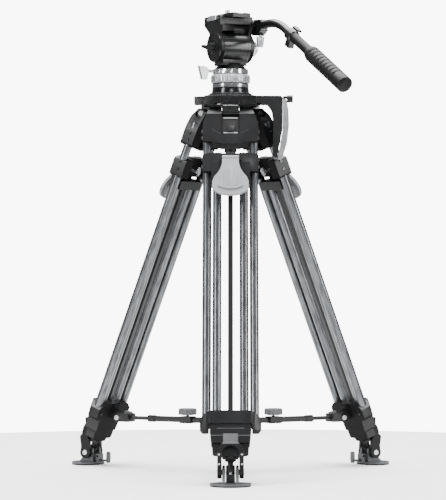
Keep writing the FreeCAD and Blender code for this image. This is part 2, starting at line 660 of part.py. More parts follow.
def foot_plate(tag, where):
    """Foot plate: round outside, narrower inside, two ears on the foot pin and a lever lug."""
    disc = bar(tag + "_plate_disc", "z", "plate_radius", ("0", "plate_shift", "sole_thick"),
               "plate_thick - sole_thick")
    keep = prism(tag + "_plate_keep", "XY",
                 [("-plate_chord", "-plate_back"), ("plate_chord", "-plate_back"),
                  ("plate_radius * 0.92", "plate_shift - plate_radius * 0.25"),
                  ("plate_radius + 1", "plate_shift"),
                  ("plate_radius + 1", "plate_radius + 10"), ("-plate_radius - 1", "plate_radius + 10"),
                  ("-plate_radius - 1", "plate_shift"),
                  ("-plate_radius * 0.92", "plate_shift - plate_radius * 0.25")],
                 "-1", "plate_thick + 2")
    trimmed = doc.addObject("Part::Common", tag + "_plate_trim")
    trimmed.Base = disc
    trimmed.Tool = keep
    rim = bar(tag + "_sole_disc", "z", "plate_radius - 0.6", ("0", "plate_shift", "0"), "sole_thick")
    sole = doc.addObject("Part::Common", tag + "_sole")
    sole.Base = rim
    sole.Tool = keep
    points = [("21", "plate_thick - 1"), ("11", "foot_height - 9"), ("7", "foot_height + 5"),
              ("-4", "foot_height + 9"), ("-10", "foot_height + 10"), ("-13", "foot_height + 7"),
              ("-13.5", "plate_thick - 1")]
    ears = []
    for side, start in (("a", "-ear_inner - ear_thick"), ("b", "ear_inner")):
        ears.append(prism(f"{tag}_plate_ear_{side}", "YZ", points, start, "ear_thick", ("1.5", along_x)))
    hole = bar(tag + "_plate_pin_hole", "x", "foot_pin_radius + slide_fit", ("-40", "0", "foot_height"), "80")
    lug = block(tag + "_plate_lug", ("17", "8", "18"), ("0", "-plate_back", "14"))
    lug_hole = bar(tag + "_plate_lug_hole", "x", "2.25", ("-20", "-plate_back", "18"), "40")
    lever_hole = bar(tag + "_plate_lever_hole", "y", "lever_shaft_radius + slide_fit",
                     ("0", "-plate_back - 10", "9"), "12")
    solid = join(tag + "_plate_solid", [trimmed] + ears + [lug])
    plate = carve(tag + "_plate", solid, [hole, lug_hole, lever_hole])
    node(tag + "_foot_plate", gather(tag + "_plate_group", [plate, sole]), where)


def foot_lever(tag, where):
    """Small locking lever on the foot plate's inner lug."""
    shaft = bar(tag + "_lever_shaft", "y", "lever_shaft_radius", ("0", "-plate_back - 20", "9"), "21")
    paddle = prism(tag + "_lever_paddle", "XZ",
                   [("-4", "4.5"), ("4", "4.5"), ("6", "12"), ("5.5", "26"), ("0", "28"), ("-5.5", "26"),
                    ("-6", "12")],
                   "-plate_back - 24", "4.5")
    node(tag + "_foot_lever", join(tag + "_lever", [shaft, paddle]), where)


# ---------------------------------------------------------------- spreader
# Spreader axes: y outwards along the arm, z up from the floor, origin under the pan axis.


def spreader_rod(tag, where):
    """Sliding rod with the fork that holds it to the collar's lug."""
    reach, height = PIN_REACH, PIN_HEIGHT
    rod = bar(tag + "_spreader_shaft", "y", "rod_radius", ("0", "rod_start", height),
              f"{reach} - rod_start - 20")
    base = prism(tag + "_fork_base", "YZ",
                 [(f"{reach} - fork_length", f"{height} - 4"), (f"{reach} - 17", f"{height} - 8.5"),
                  (f"{reach} - 17", f"{height} + 8.5"), (f"{reach} - fork_length", f"{height} + 4")],
                  "-7", "14")
    bridge = block(tag + "_fork_bridge", ("30", "10", "17"), ("0", f"{reach} - 21", height))
    cheeks = []
    for side, start in (("a", "-15"), ("b", "10.5")):
        plate = block(f"{tag}_fork_plate_{side}", ("4.5", "18", "17"),
                      (f"{start} + 2.25", f"{reach} - 9", height))
        nose = bar(f"{tag}_fork_nose_{side}", "x", "8.5", (start, reach, height), "4.5")
        cheeks += [plate, nose]
    fork = join(tag + "_fork", [rod, base, bridge] + cheeks)
    pin = bar(tag + "_fork_pin", "x", "2.5", ("-16", reach, height), "32")
    heads = [bar(tag + "_fork_head_a", "x", "5", ("-17", reach, height), "2.5"),
             bar(tag + "_fork_head_b", "x", "5", ("14.5", reach, height), "2.5")]
    tab = prism(tag + "_fork_tab", "YZ",
                [(f"{reach} - fork_length + 1", f"{height} + 5"), (f"{reach} - 12", f"{height} + 8"),
                 (f"{reach} - 13", f"{height} + 14"), (f"{reach} - fork_length + 4", f"{height} + 12")],
                "-6", "12")
    node(tag + "_spreader_rod", join(tag + "_spreader_rod_whole", [fork, pin, tab] + heads), where)


def spreader_knob(tag, where):
    """Clamp knob on a spreader arm."""
    knob = lathe(tag + "_knob_turned",
                 [("0", "0"), ("2.9", "0"), ("2.9", "5"), ("12", "5"), ("14", "6"), ("knob_radius - 1", "6"),
                  ("knob_radius", "7.5"), ("knob_radius", "knob_height + 4"),
                  ("knob_radius - 2", "knob_height + 6"), ("0", "knob_height + 6")])
    grooves = [bar(f"{tag}_knob_groove_{index}", "z", "1.6",
                   (f"(knob_radius + 0.6) * cos({index} * 30)",
                    f"(knob_radius + 0.6) * sin({index} * 30)", "5"),
                   "20") for index in range(12)]
    fluted = carve(tag + "_knob_fluted", knob, grooves)
    seat = placed(tag + "_knob_seat", fluted, ("0", "knob_reach", f"{PIN_HEIGHT} + rod_radius + 0.4"))
    node(tag + "_spreader_knob", seat, where)


def spreader_hub(where):
    """Hub casting with three fixed arm tubes and their clamp bosses."""
    hub = lathe("hub_turned",
                [("0", "-hub_height / 2"), ("hub_radius - 4", "-hub_height / 2"), ("hub_radius", "-7"),
                 ("hub_radius", "7"), ("hub_radius - 6", "hub_height / 2"), ("10", "hub_height / 2"),
                 ("9", "hub_height / 2 + 6"), ("0", "hub_height / 2 + 6")])
    solids = [hub]
    holes = []
    for tag, azimuth in LEGS.items():
        tube = bar(tag + "_arm_round", "y", "arm_radius", ("0", "12", "0"), "arm_reach - 12")
        boss = block(tag + "_arm_boss", ("22", "26", "14"), ("0", "knob_reach", "0"))
        root = block(tag + "_arm_root", ("16", "26", "14"), ("0", "34", "0"))
        tip = bar(tag + "_arm_tip", "y", "arm_radius + 1.2", ("0", "arm_reach - 16", "0"), "16")
        bore = bar(tag + "_arm_bore", "y", "rod_radius + slide_fit", ("0", "28", "0"), "arm_reach")
        screw = bar(tag + "_arm_screw_hole", "z", "3", ("0", "knob_reach", "0"), "20")
        solids.append(placed(tag + "_arm", join(tag + "_arm_solid", [tube, boss, root, tip]),
                             ("0", "0", "0"), (0, 0, 1), str(azimuth - 90)))
        holes.append(placed(tag + "_arm_holes", join(tag + "_arm_hole_pair", [bore, screw]),
                            ("0", "0", "0"), (0, 0, 1), str(azimuth - 90)))
    body = carve("hub_body", join("hub_solid", solids), holes)
    node("spreader_hub", placed("hub_at_height", body, ("0", "0", PIN_HEIGHT)), where)


# ---------------------------------------------------------------- shoulder
# Deck axes: z up from the shoulder's deck, origin on the pan axis, -y towards the front leg.


def shoulder(where):
    """Shoulder casting: deck, three arched panels, three hinge lugs and the bowl rim."""
    deck = bar("deck_disc", "z", "deck_radius", ("0", "0", "-deck_thick"), "deck_thick")
    rim = cone("deck_rim", "rim_radius + 3", "rim_radius", ("0", "0", "0"), "rim_height")
    solids = [deck, rim]
    for tag, azimuth in LEGS.items():
        panel = prism(tag + "_panel_block", "XY",
                      [("-panel_half", "20"), ("panel_half", "20"), ("panel_half", "panel_reach - 8"),
                       ("panel_half * 0.5", "panel_reach"), ("-panel_half * 0.5", "panel_reach"),
                       ("-panel_half", "panel_reach - 8")], "-18", "17")
        arch = bar(tag + "_panel_arch", "y", "100", ("0", "deck_radius - 26", "-18 - 93"), "60")
        arched = carve(tag + "_panel", panel, [arch])
        web = block(tag + "_lug_web", ("2 * lug_half", "2 * lug_radius", "shoulder_rise - 2"),
                    ("0", "pivot_radius", "-(shoulder_rise + 2) / 2"))
        eye = bar(tag + "_lug_eye", "x", "lug_radius", ("-lug_half", "pivot_radius", "-shoulder_rise"),
                  "2 * lug_half")
        bore = bar(tag + "_lug_bore", "x", "pin_radius + slide_fit",
                   ("-40", "pivot_radius", "-shoulder_rise"),
                   "80")
        lug = carve(tag + "_lug", join(tag + "_lug_solid", [web, eye]), [bore])
        solids.append(placed(tag + "_side", join(tag + "_side_solid", [arched, lug]), ("0", "0", "0"),
                             (0, 0, 1), str(azimuth - 90)))
    seat = ball("bowl_seat", "bowl_radius + bowl_gap", ("0", "0", "rim_height"))
    mouth = bar("bowl_mouth", "z", "bowl_radius + bowl_gap", ("0", "0", "rim_height"), "20")
    throat = bar("bowl_throat", "z", "24", ("0", "0", "-60"), "60")
    node("shoulder", carve("shoulder_casting", join("shoulder_solid", solids), [seat, mouth, throat]), where)


def carry_handle(where):
    """Carry handle at the side, with its strap and end knob as separate solids."""
    reach, drop = "handle_reach", "handle_drop"
    arm = prism("handle_arm", "XZ",
                [("44", "-1"), (f"{reach} - 4", "-1"), (reach, "-6"), (f"{reach} - 1", f"-{drop} * 0.55"),
                 (f"{reach} - 12", f"-{drop}"), (f"{reach} - 20", f"-{drop} + 2"),
                 (f"{reach} - 19", f"-{drop} * 0.45"), (f"{reach} - 22", "-32"), (f"{reach} - 30", "-20"),
                 ("56", "-15"), ("44", "-15")], "-handle_place - handle_depth / 2", "handle_depth")
    seated = carve("handle_arm_seated", arm, [doc.getObject("shoulder_solid")])
    strap = prism("handle_strap", "XZ",
                  [(f"{reach} + 0.6", "-7.5"), (f"{reach} + 7", "-9"), (f"{reach} + 11", "-30"),
                   (f"{reach} + 12", "-60"), (f"{reach} + 8", "-95"), (f"{reach} - 2", f"-{drop} - 4"),
                   (f"{reach} - 10", f"-{drop} - 2"), (f"{reach} - 0.2", f"-{drop} * 0.55")],
                  "-handle_place - 12", "24")
    knob = bar("handle_knob", "x", "7.5", (f"{reach} + 8", "-handle_place", "-7"), "12")
    stem = bar("handle_stem", "x", "3", (f"{reach} + 0.1", "-handle_place", "-4.2"), "8.5")
    node("carry_handle", gather("handle_group", [seated, join("handle_outside", [strap, stem, knob])]), where)


def level_ball(where):
    """Half ball with its flange and the tie-down rod."""
    sphere = ball("level_sphere", "bowl_radius", ("0", "0", "rim_height"))
    top_cut = block("level_top_cut", ("100", "100", "60"), ("0", "0", "flange_base + 30"))
    low_cut = block("level_low_cut", ("100", "100", "60"), ("0", "0", "-50"))
    half = carve("level_half", sphere, [top_cut, low_cut])
    flange = lathe("level_flange", [("0", "flange_base - 1"), ("34", "flange_base - 1"),
                                    ("36.5", "flange_base + 1"),
                                    ("36.5", "ring_base - 2"), ("35", "ring_base - part_gap"),
                                    ("0", "ring_base - part_gap")])
    spigot = bar("level_spigot", "z", "14", ("0", "0", "flange_base"), "base_base - flange_base - 1")
    rod = bar("level_rod", "z", "rod_down_radius", ("0", "0", "-58"), "50")
    node("level_ball", join("level_whole", [half, flange, spigot, rod]), where)


def clamp_washer(where):
    """Washer under the bowl that the tie-down rod passes through."""
    ring = lathe("washer_ring", [("12", "-34"), ("22", "-33"), ("23", "-30"), ("19", "-28"), ("12", "-29")])
    node("clamp_washer", ring, where)


def tie_down_knob(where):
    """Ribbed knob on the tie-down rod."""
    body = lathe("tie_knob_turned", [("0", "-114"), ("9", "-114"), ("12", "-111"), ("13", "-90"),
                                     ("16", "-76"),
                                     ("16", "-62"), ("13", "-60"), ("0", "-60")])
    flutes = [bar(f"tie_knob_flute_{index}", "z", "2.6",
                  (f"17 * cos({index} * 60)", f"17 * sin({index} * 60)", "-120"), "80") for index in range(6)]
    bore = bar("tie_knob_bore", "z", "rod_down_radius + slide_fit", ("0", "0", "-62"), "6")
    solid = carve("tie_knob", body, flutes + [bore])
    node("tie_down_knob", solid, where)


# ---------------------------------------------------------------- fluid head
# Head axes: x along the tilt shaft, y towards the lens, z up from the shoulder's deck.


def pan_drag_ring(where):
    """Scalloped drag ring under the head."""
    ring = lathe("drag_ring_turned",
                 [("14.1", "ring_base"), ("ring_radius - 1.5", "ring_base"),
                  ("ring_radius", "ring_base + 1.5"),
                  ("ring_radius", "ring_base + ring_height - 1.5"),
                  ("ring_radius - 1.5", "ring_base + ring_height"), ("14.1", "ring_base + ring_height")])
    scallops = [bar(f"drag_ring_scallop_{index}", "z", "9",
                    (f"(ring_radius + 7.6) * cos({index} * 36)",
                     f"(ring_radius + 7.6) * sin({index} * 36)", "20"),
                    "40") for index in range(10)]
    node("pan_drag_ring", carve("drag_ring", ring, scallops), where)


def pan_base(where):
    """Turntable ring and the neck under the drum."""
    base = lathe("pan_base_turned",
                 [("0", "base_base"), ("base_radius - 1", "base_base"), ("base_radius", "base_base + 1"),
                  ("base_radius", "base_base + base_height - 1"),
                  ("base_radius - 2", "base_base + base_height"),
                  ("20", "base_base + base_height + 12"), ("0", "base_base + base_height + 12")])
    hole = bar("pan_base_lock_hole", "x", "3 + slide_fit", ("-base_radius - 5", "0", "base_base + 5"), "16")
    clear = bar("pan_base_drum_clear", "x", "drum_radius + 0.05", ("-60", "0", "drum_height"), "120")
    node("pan_base", carve("pan_base_solid", base, [hole, clear]), where)


def pan_lock(where):
    """Wing lever that locks the pan."""
    shaft = bar("pan_lock_shaft", "x", "3", ("-base_radius - 18", "0", "base_base + 5"), "27")
    wing = prism("pan_lock_wing", "XZ",
                 [("-base_radius - 17", "base_base + 11"), ("-base_radius - 17", "base_base - 2"),
                  ("-base_radius - 20", "base_base - 12"), ("-base_radius - 31", "base_base - 12"),
                  ("-base_radius - 36", "base_base + 8"), ("-base_radius - 38", "base_base + 15"),
                  ("-base_radius - 24", "base_base + 14")], "-4", "8")
    node("pan_lock_lever", join("pan_lock", [shaft, wing]), where)


def drum(where):
    """Fluid drum: the tilt cartridge between the two ears."""
    body = bar("drum_barrel", "x", "drum_radius", ("-drum_half", "0", "drum_height"), "2 * drum_half")
    foot = block("drum_foot", ("2 * drum_half - 6", "36", "20"), ("0", "0", "drum_height - drum_radius + 4"))
    crown = block("drum_crown", ("crown_width", "36", "16"),
                  ("crown_width / 2 + part_gap", "4", "drum_height + drum_radius - 2"))
    journal = bar("drum_journal", "x", "journal_radius", ("-drum_half - 5", "0", "drum_height"),
                  "2 * drum_half + 10")
    foot_clear = cone("drum_neck_clear", "base_radius", "20", ("0", "0", "base_base + base_height"), "12")
    node("drum", carve("drum_body", join("drum_solid", [body, foot, crown, journal]), [foot_clear]), where)


def tilt_platform(where):
    """Platform with two side ears that turn on the drum's journals."""
    top, base = "platform_top", "platform_base"
    ears = []
    profile = [("-ear_waist", "drum_height"), ("-ear_waist", "drum_height + 25"),
               ("-platform_back", f"{base} - 2"), ("-platform_back", top), ("platform_front", top),
               ("platform_front", f"{base} - 1"), ("ear_waist + 4", "drum_height + 30"),
               ("ear_waist", "drum_height + 24"), ("ear_waist", "drum_height")]
    for side, start in (("a", f"-{EAR_FACE} - ear_plate"), ("b", EAR_FACE)):
        blade = prism("ear_blade_" + side, "YZ", profile, start, "ear_plate", ("3", along_x))
        disc = bar("ear_disc_" + side, "x", "drum_radius", (start, "0", "drum_height"), "ear_plate")
        ears += [blade, disc]
    slab = block("platform_slab", (f"2 * {EAR_FACE} + 2", "platform_front + platform_back",
                                   f"{top} - {base}"),
                 ("0", "(platform_front - platform_back) / 2", f"({top} + {base}) / 2"))
    housing = block("balance_housing", (EAR_FACE, "housing_length", "housing_height"),
                    (f"-{EAR_FACE} / 2 - 2 * part_gap", "housing_place",
                     "drum_height + drum_radius + housing_gap + housing_height / 2"))
    channel = block("platform_channel", ("2 * plate_half_width + 1", "200", "plate_height"),
                    ("0", "0", f"{top}"))
    bore = bar("ear_bore", "x", "journal_radius + slide_fit", ("-100", "0", "drum_height"), "200")
    rosette = bar("rosette", "x", "11", (f"{EAR_FACE} + ear_plate - 1", "-14", "bar_height"), "6")
    lever_hole = bar("plate_lever_hole", "x", "2.5 + slide_fit",
                     (f"-{EAR_FACE} - 20", "-12", f"{top} - 4"), "22")
    body = carve("platform_body", join("platform_solid", ears + [slab, housing, rosette]),
                 [channel, bore, lever_hole])
    node("tilt_platform", body, where)


def tilt_lock(where):
    """Tilt lock lever on the left cap."""
    hub = bar("tilt_lock_hub", "x", "8", (f"-{EAR_FACE} - ear_plate - 11", "0", "drum_height"), "12")
    spigot = bar("tilt_lock_spigot", "x", "journal_radius",
                 (f"-{EAR_FACE} - ear_plate", "0", "drum_height"), "2")
    blade = prism("tilt_lock_blade", "YZ",
                  [("-6", "drum_height - 5"), ("-6", "drum_height + 5"), ("12", "drum_height + 4"),
                   ("32", "drum_height + 6"), ("34", "drum_height + 1"), ("12", "drum_height - 5")],
                  f"-{EAR_FACE} - ear_plate - 11", "5")
    node("tilt_lock_lever", join("tilt_lock", [hub, spigot, blade]), where)


def drag_dial(where):
    """Tilt drag dial on the right side."""
    start = f"{EAR_FACE} + ear_plate + part_gap"
    rim = bar("dial_rim", "x", "17.4", (start, "0", "drum_height"), "13")
    nose = bar("dial_nose", "x", "14", (start, "0", "drum_height"), "18")
    stem = bar("dial_stem", "x", "7", (f"{EAR_FACE} + 5.2", "0", "drum_height"), "10")
    ribs = [bar(f"dial_rib_{index}", "x", "1.4",
                (f"{start} + 2", f"18 * cos({index} * 20)", f"drum_height + 18 * sin({index} * 20)"), "20")
            for index in range(18)]
    node("tilt_drag_dial", carve("dial_body", join("dial_solid", [rim, nose, stem]), ribs), where)


def camera_plate(where):
    """Sliding camera plate with its ribbed pad, camera screw and locating pin."""
    base = "platform_top - plate_height / 2 + 0.3"
    plate = block("plate_slab", ("2 * plate_half_width", "2 * plate_half_length", "plate_height"),
                  ("0", "6", f"{base} + plate_height / 2"))
    slot = block("plate_slot", ("7", "60", "20"), ("0", "16", base))
    relief = block("plate_relief", ("24", "2 * plate_half_length - 16", "plate_height - 4"), ("0", "6", base))
    solid = carve("plate_body", plate, [slot, relief])
    head = bar("camera_screw_head", "z", "8", ("0", "12", f"{base} + 1"), "4")
    neck = bar("camera_screw_neck", "z", "screw_neck_radius", ("0", "12", f"{base} + 1"), "plate_height")
    screw = bar("camera_screw_thread", "z", "screw_radius", ("0", "12", f"{base} + plate_height + part_gap"),
                "screw_height")
    seat = bar("camera_screw_seat", "z", "8.2", ("0", "12", f"{base} - 1"), "6.2")
    through = bar("camera_screw_way", "z", "screw_radius + slide_fit", ("0", "12", base), "20")
    seated = carve("plate_seated", solid, [seat, through])
    pin = bar("plate_pin", "z", "1.6", ("0", "-26", f"{base} + plate_height - 1"), "4")
    node("camera_plate", gather("plate_group", [join("plate_pinned", [seated, pin]),
                                                join("camera_screw", [head, neck, screw])]), where)


def plate_lever(where):
    """Lever that clamps the camera plate."""
    face = f"-{EAR_FACE} - ear_plate"
    shaft = bar("plate_lever_shaft", "x", "2.5", (f"{face} - 6", "-12", "platform_top - 4"), "12")
    arm = prism("plate_lever_arm", "YZ",
                [("-16", "platform_top - 8"), ("-16", "platform_top"), ("-4", "platform_top"),
                 ("18", "platform_top - 5"), ("18", "platform_top - 9")], f"{face} - 7", "6")
    node("plate_lock_lever", join("plate_lever", [shaft, arm]), where)


def pan_bar(where):
    """Clamp block and bent bar; the clamp turns on the platform's rosette."""
    start = f"{EAR_FACE} + ear_plate + 5.3"
    clamp = prism("bar_clamp_block", "YZ",
                  [("-2", "bar_height - 11"), ("-2", "bar_height + 8"), ("-12", "bar_height + 11"),
                   ("-44", "bar_height + 10"), ("-46", "bar_height - 12"), ("-30", "bar_height - 22"),
                   ("-12", "bar_height - 20")], start, "17", ("3", along_x))
    line = [Vector(number(f"{start} + 8.5"), -10, number("bar_height")),
            Vector(number(f"{start} + 8.5"), number(f"-(bar_bend_at - {BEND_SETBACK})"),
                   number("bar_height"))]
    slope = Vector(0, -number("cos(bar_slope)"), -number("sin(bar_slope)"))
    corner = Vector(line[1].x, -number("bar_bend_at"), line[1].z)
    leave = corner + slope * number(BEND_SETBACK)
    centre = Vector(line[1].x, line[1].y, line[1].z - number("bar_bend_radius"))
    half = number("bar_slope / 2")
    middle = centre + Rotation(Vector(1, 0, 0), half).multVec(Vector(0, 0, number("bar_bend_radius")))
    path = Part.Wire([Part.makeLine(line[0], line[1]), Part.Arc(line[1], middle, leave).toShape(),
                      Part.makeLine(leave, leave + slope * number("bar_straight"))])
    circle = Part.Wire([Part.makeCircle(number("bar_radius"), line[0], Vector(0, -1, 0))])
    rod = doc.addObject("Part::Feature", "bent_bar")
    rod.Shape = path.makePipeShell([circle], True, True)
    screw = bar("bar_clamp_screw_hole", "z", "3", (f"{start} + 8.5", "-30", "bar_height - 40"), "31")
    solid = carve("bar_clamp", join("bar_clamp_solid", [clamp, rod]), [screw])
    node("pan_bar", solid, where)
    return corner, slope


def clamp_knob(where):
    """Tapered clamp knob under the pan bar's clamp."""
    start = f"{EAR_FACE} + ear_plate + 5.3"
    knob = lathe("clamp_knob_turned",
                 [("0", "-22"), ("5", "-22"), ("6", "-21"), ("8.5", "-3"), ("7", "-1"), ("2.92", "-1"),
                  ("2.92", "10"), ("0", "10")])
    flutes = [bar(f"clamp_knob_flute_{index}", "z", "1.8",
                  (f"9.2 * cos({index} * 60)", f"9.2 * sin({index} * 60)", "-30"),
                  "30") for index in range(6)]
    fluted = carve("clamp_knob_fluted", knob, flutes)
    node("clamp_knob", placed("clamp_knob_seat", fluted, (f"{start} + 8.5", "-30", "bar_height - 22.5")),
         where)


def grip(where, corner, slope):
    """Sleeve with its lock collar, wing screw and ribbed rubber grip, sliding on the bar."""
    sleeve = lathe("sleeve_turned",
                   [("bar_radius + slide_fit", "0"), ("bar_radius + 4", "0"), ("bar_radius + 4", "18"),
                    ("bar_radius + sleeve_wall", "20"), ("bar_radius + sleeve_wall", "150"),
                    ("bar_radius + slide_fit", "150")])
    block_piece = block("lock_block", ("12", "16", "16"), ("0", "-bar_radius - 8", "10"))
    clear = bar("lock_clear", "z", "bar_radius + slide_fit", ("0", "0", "-10"), "60")
    wing = prism("lock_wing", "XZ", [("4", "-2"), ("12", "-6"), ("15", "2"), ("13", "20"), ("6", "16")],
                 "bar_radius + 2", "4")
    sleeve_solid = carve("sleeve_with_lock", join("sleeve_solid", [sleeve, block_piece, wing]), [clear])
    profile = [("bar_radius + sleeve_wall + 0.05", "86"), ("13", "86"), ("grip_radius - 1", "92")]
    for rib in range(9):
        low = 96 + rib * 12
        profile += [("grip_radius", f"{low}"), ("grip_radius", f"{low + 8}"),
                    ("grip_radius - rib_depth", f"{low + 9}"), ("grip_radius - rib_depth", f"{low + 11}")]
    profile += [("grip_radius", "206"), ("grip_radius", "84 + grip_length - 4"),
                ("grip_radius - 4", "84 + grip_length"), ("0", "84 + grip_length"), ("0", "151"),
                ("bar_radius + sleeve_wall + 0.05", "151")]
    rubber = lathe("grip_turned", profile)
    holder = gather("grip_group", [sleeve_solid, rubber])
    tilt = Rotation(Vector(0, 0, 1), slope)
    holder.Placement = Placement(corner + slope * (number(BEND_SETBACK) + 22), tilt)
    node("grip", gather("grip_leaning", [holder]), where)


for leg_name, leg_azimuth in LEGS.items():
    spin = ((0, 0, 1), str(leg_azimuth - 90))
    lean = ((1, 0, 0), "leg_lean")
    out_x = f"cos({leg_azimuth})"
    out_y = f"sin({leg_azimuth})"
    leg_frame = frame(leg_name + "_leg_frame", (f"pivot_radius * {out_x}",
                                                f"{AXIS_Y} + pivot_radius * {out_y}",
                                                PIVOT_HEIGHT), [spin, lean])
    foot_frame = frame(leg_name + "_foot_frame", (f"{STANCE} * {out_x}",
                                                  f"{AXIS_Y} + {STANCE} * {out_y}", "0"),
                       [spin])
    arm_frame = frame(leg_name + "_arm_frame", ("0", AXIS_Y, "0"), [spin])
    knuckle(leg_name, leg_frame)
    latch(leg_name, leg_frame)
    upper_tubes(leg_name, leg_frame)
    bracket(leg_name, leg_frame)
    pedal(leg_name, leg_frame)
    upper_collar(leg_name, leg_frame)
    middle_tubes(leg_name, leg_frame)
    lower_collar(leg_name, leg_frame)
    foot_casting(leg_name, leg_frame)
    yoke(leg_name, foot_frame)
    foot_plate(leg_name, foot_frame)
    foot_lever(leg_name, foot_frame)
    spreader_rod(leg_name, arm_frame)
    spreader_knob(leg_name, arm_frame)

floor_frame = frame("floor_frame", ("0", AXIS_Y, "0"), [])
deck_frame = frame("deck_frame", ("0", AXIS_Y, DECK_HEIGHT), [])
head_frame = frame("head_frame", ("0", AXIS_Y, DECK_HEIGHT), [((0, 0, 1), "head_yaw")])
spreader_hub(floor_frame)
for make in (shoulder, carry_handle, level_ball, clamp_washer, tie_down_knob):
    make(deck_frame)
for make in (pan_drag_ring, pan_base, pan_lock, drum, tilt_platform, tilt_lock, drag_dial, camera_plate,
             plate_lever, clamp_knob):
    make(head_frame)
bar_corner, bar_slope = pan_bar(head_frame)
grip(head_frame, bar_corner, bar_slope)
doc.recompute()

for item in doc.Objects:
    if "Invalid" in item.State or "Error" in item.State:
        raise RuntimeError(f"{item.Name} failed: {item.State}")
for item in nodes:
    if item.Shape.isNull() or not item.Shape.isValid():
        raise RuntimeError(f"{item.Label} has no valid shape")
os.makedirs("parts", exist_ok=True)
for item in nodes:
    item.Shape.exportStep(f"parts/{item.Label}.step")
print(f"{len(nodes)} pieces written")
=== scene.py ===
"""Looks of the video tripod: finishes, soft edges, screws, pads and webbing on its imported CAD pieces."""
import json
import logging
import math
from collections.abc import Callable
from dataclasses import dataclass
from enum import Enum

import bmesh
import bpy
from mathutils import Matrix, Vector
from mathutils.bvhtree import BVHTree

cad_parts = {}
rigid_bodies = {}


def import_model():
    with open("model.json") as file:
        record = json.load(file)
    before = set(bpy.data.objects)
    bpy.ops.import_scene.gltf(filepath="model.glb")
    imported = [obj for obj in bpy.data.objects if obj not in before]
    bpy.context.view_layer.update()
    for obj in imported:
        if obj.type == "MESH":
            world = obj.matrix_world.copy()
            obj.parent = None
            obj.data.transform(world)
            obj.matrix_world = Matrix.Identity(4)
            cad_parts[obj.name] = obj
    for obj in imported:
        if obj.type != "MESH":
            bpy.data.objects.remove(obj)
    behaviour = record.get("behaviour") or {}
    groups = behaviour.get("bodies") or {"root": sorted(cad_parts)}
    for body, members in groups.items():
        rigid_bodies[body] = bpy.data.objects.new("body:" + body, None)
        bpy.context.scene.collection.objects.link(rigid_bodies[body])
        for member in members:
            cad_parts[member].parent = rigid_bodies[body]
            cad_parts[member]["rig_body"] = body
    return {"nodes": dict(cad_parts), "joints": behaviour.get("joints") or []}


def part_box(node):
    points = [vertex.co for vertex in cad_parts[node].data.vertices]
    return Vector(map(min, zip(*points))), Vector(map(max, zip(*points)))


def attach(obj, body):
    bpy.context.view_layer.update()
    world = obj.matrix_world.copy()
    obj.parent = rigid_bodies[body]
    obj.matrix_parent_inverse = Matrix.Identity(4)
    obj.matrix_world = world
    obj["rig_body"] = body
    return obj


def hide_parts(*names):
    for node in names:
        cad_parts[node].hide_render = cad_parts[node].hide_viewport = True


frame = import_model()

LOG = logging.getLogger("tripod")
MM = 0.001
JOINTS = {joint["name"]: joint for joint in frame["joints"]}
LEGS = ("front", "right", "left")
UPRIGHT = Vector((0, 0, 1))
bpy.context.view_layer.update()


def linear(code: str) -> tuple[float, float, float, float]:
    """Turn an sRGB hex colour into the linear values that shaders read.

    Args:
        code: six hex digits, such as "1c1d1f".

    Returns:
        Red, green, blue and an alpha of one.
    """
    values = [int(code[start:start + 2], 16) / 255 for start in (0, 2, 4)]
    red, green, blue = (v / 12.92 if v <= 0.04045 else ((v + 0.055) / 1.055) ** 2.4 for v in values)
    return red, green, blue, 1.0


def add_node(tree: bpy.types.NodeTree, kind: str, settings: dict | None = None,
             links: dict | None = None) -> bpy.types.Node:
    """Add one shader node with its settings and incoming links.

    Args:
        tree: the material's node tree.
        kind: the node's type name.
        settings: attribute names, or input names and numbers, with their values.
        links: input names or numbers with the output sockets that feed them.

    Returns:
        The new node.
    """
    made = tree.nodes.new(kind)
    for key, value in (settings or {}).items():
        if isinstance(key, str) and hasattr(made, key):
            setattr(made, key, value)
        else:
            made.inputs[key].default_value = value
    for key, source in (links or {}).items():
        tree.links.new(source, made.inputs[key])
    return made


class Pattern(Enum):
    """What a finish's bump follows."""

    CAST = "cast"
    MOULDED = "moulded"
    TURNED = "turned"
    KNURLED = "knurled"
    WOVEN = "woven"


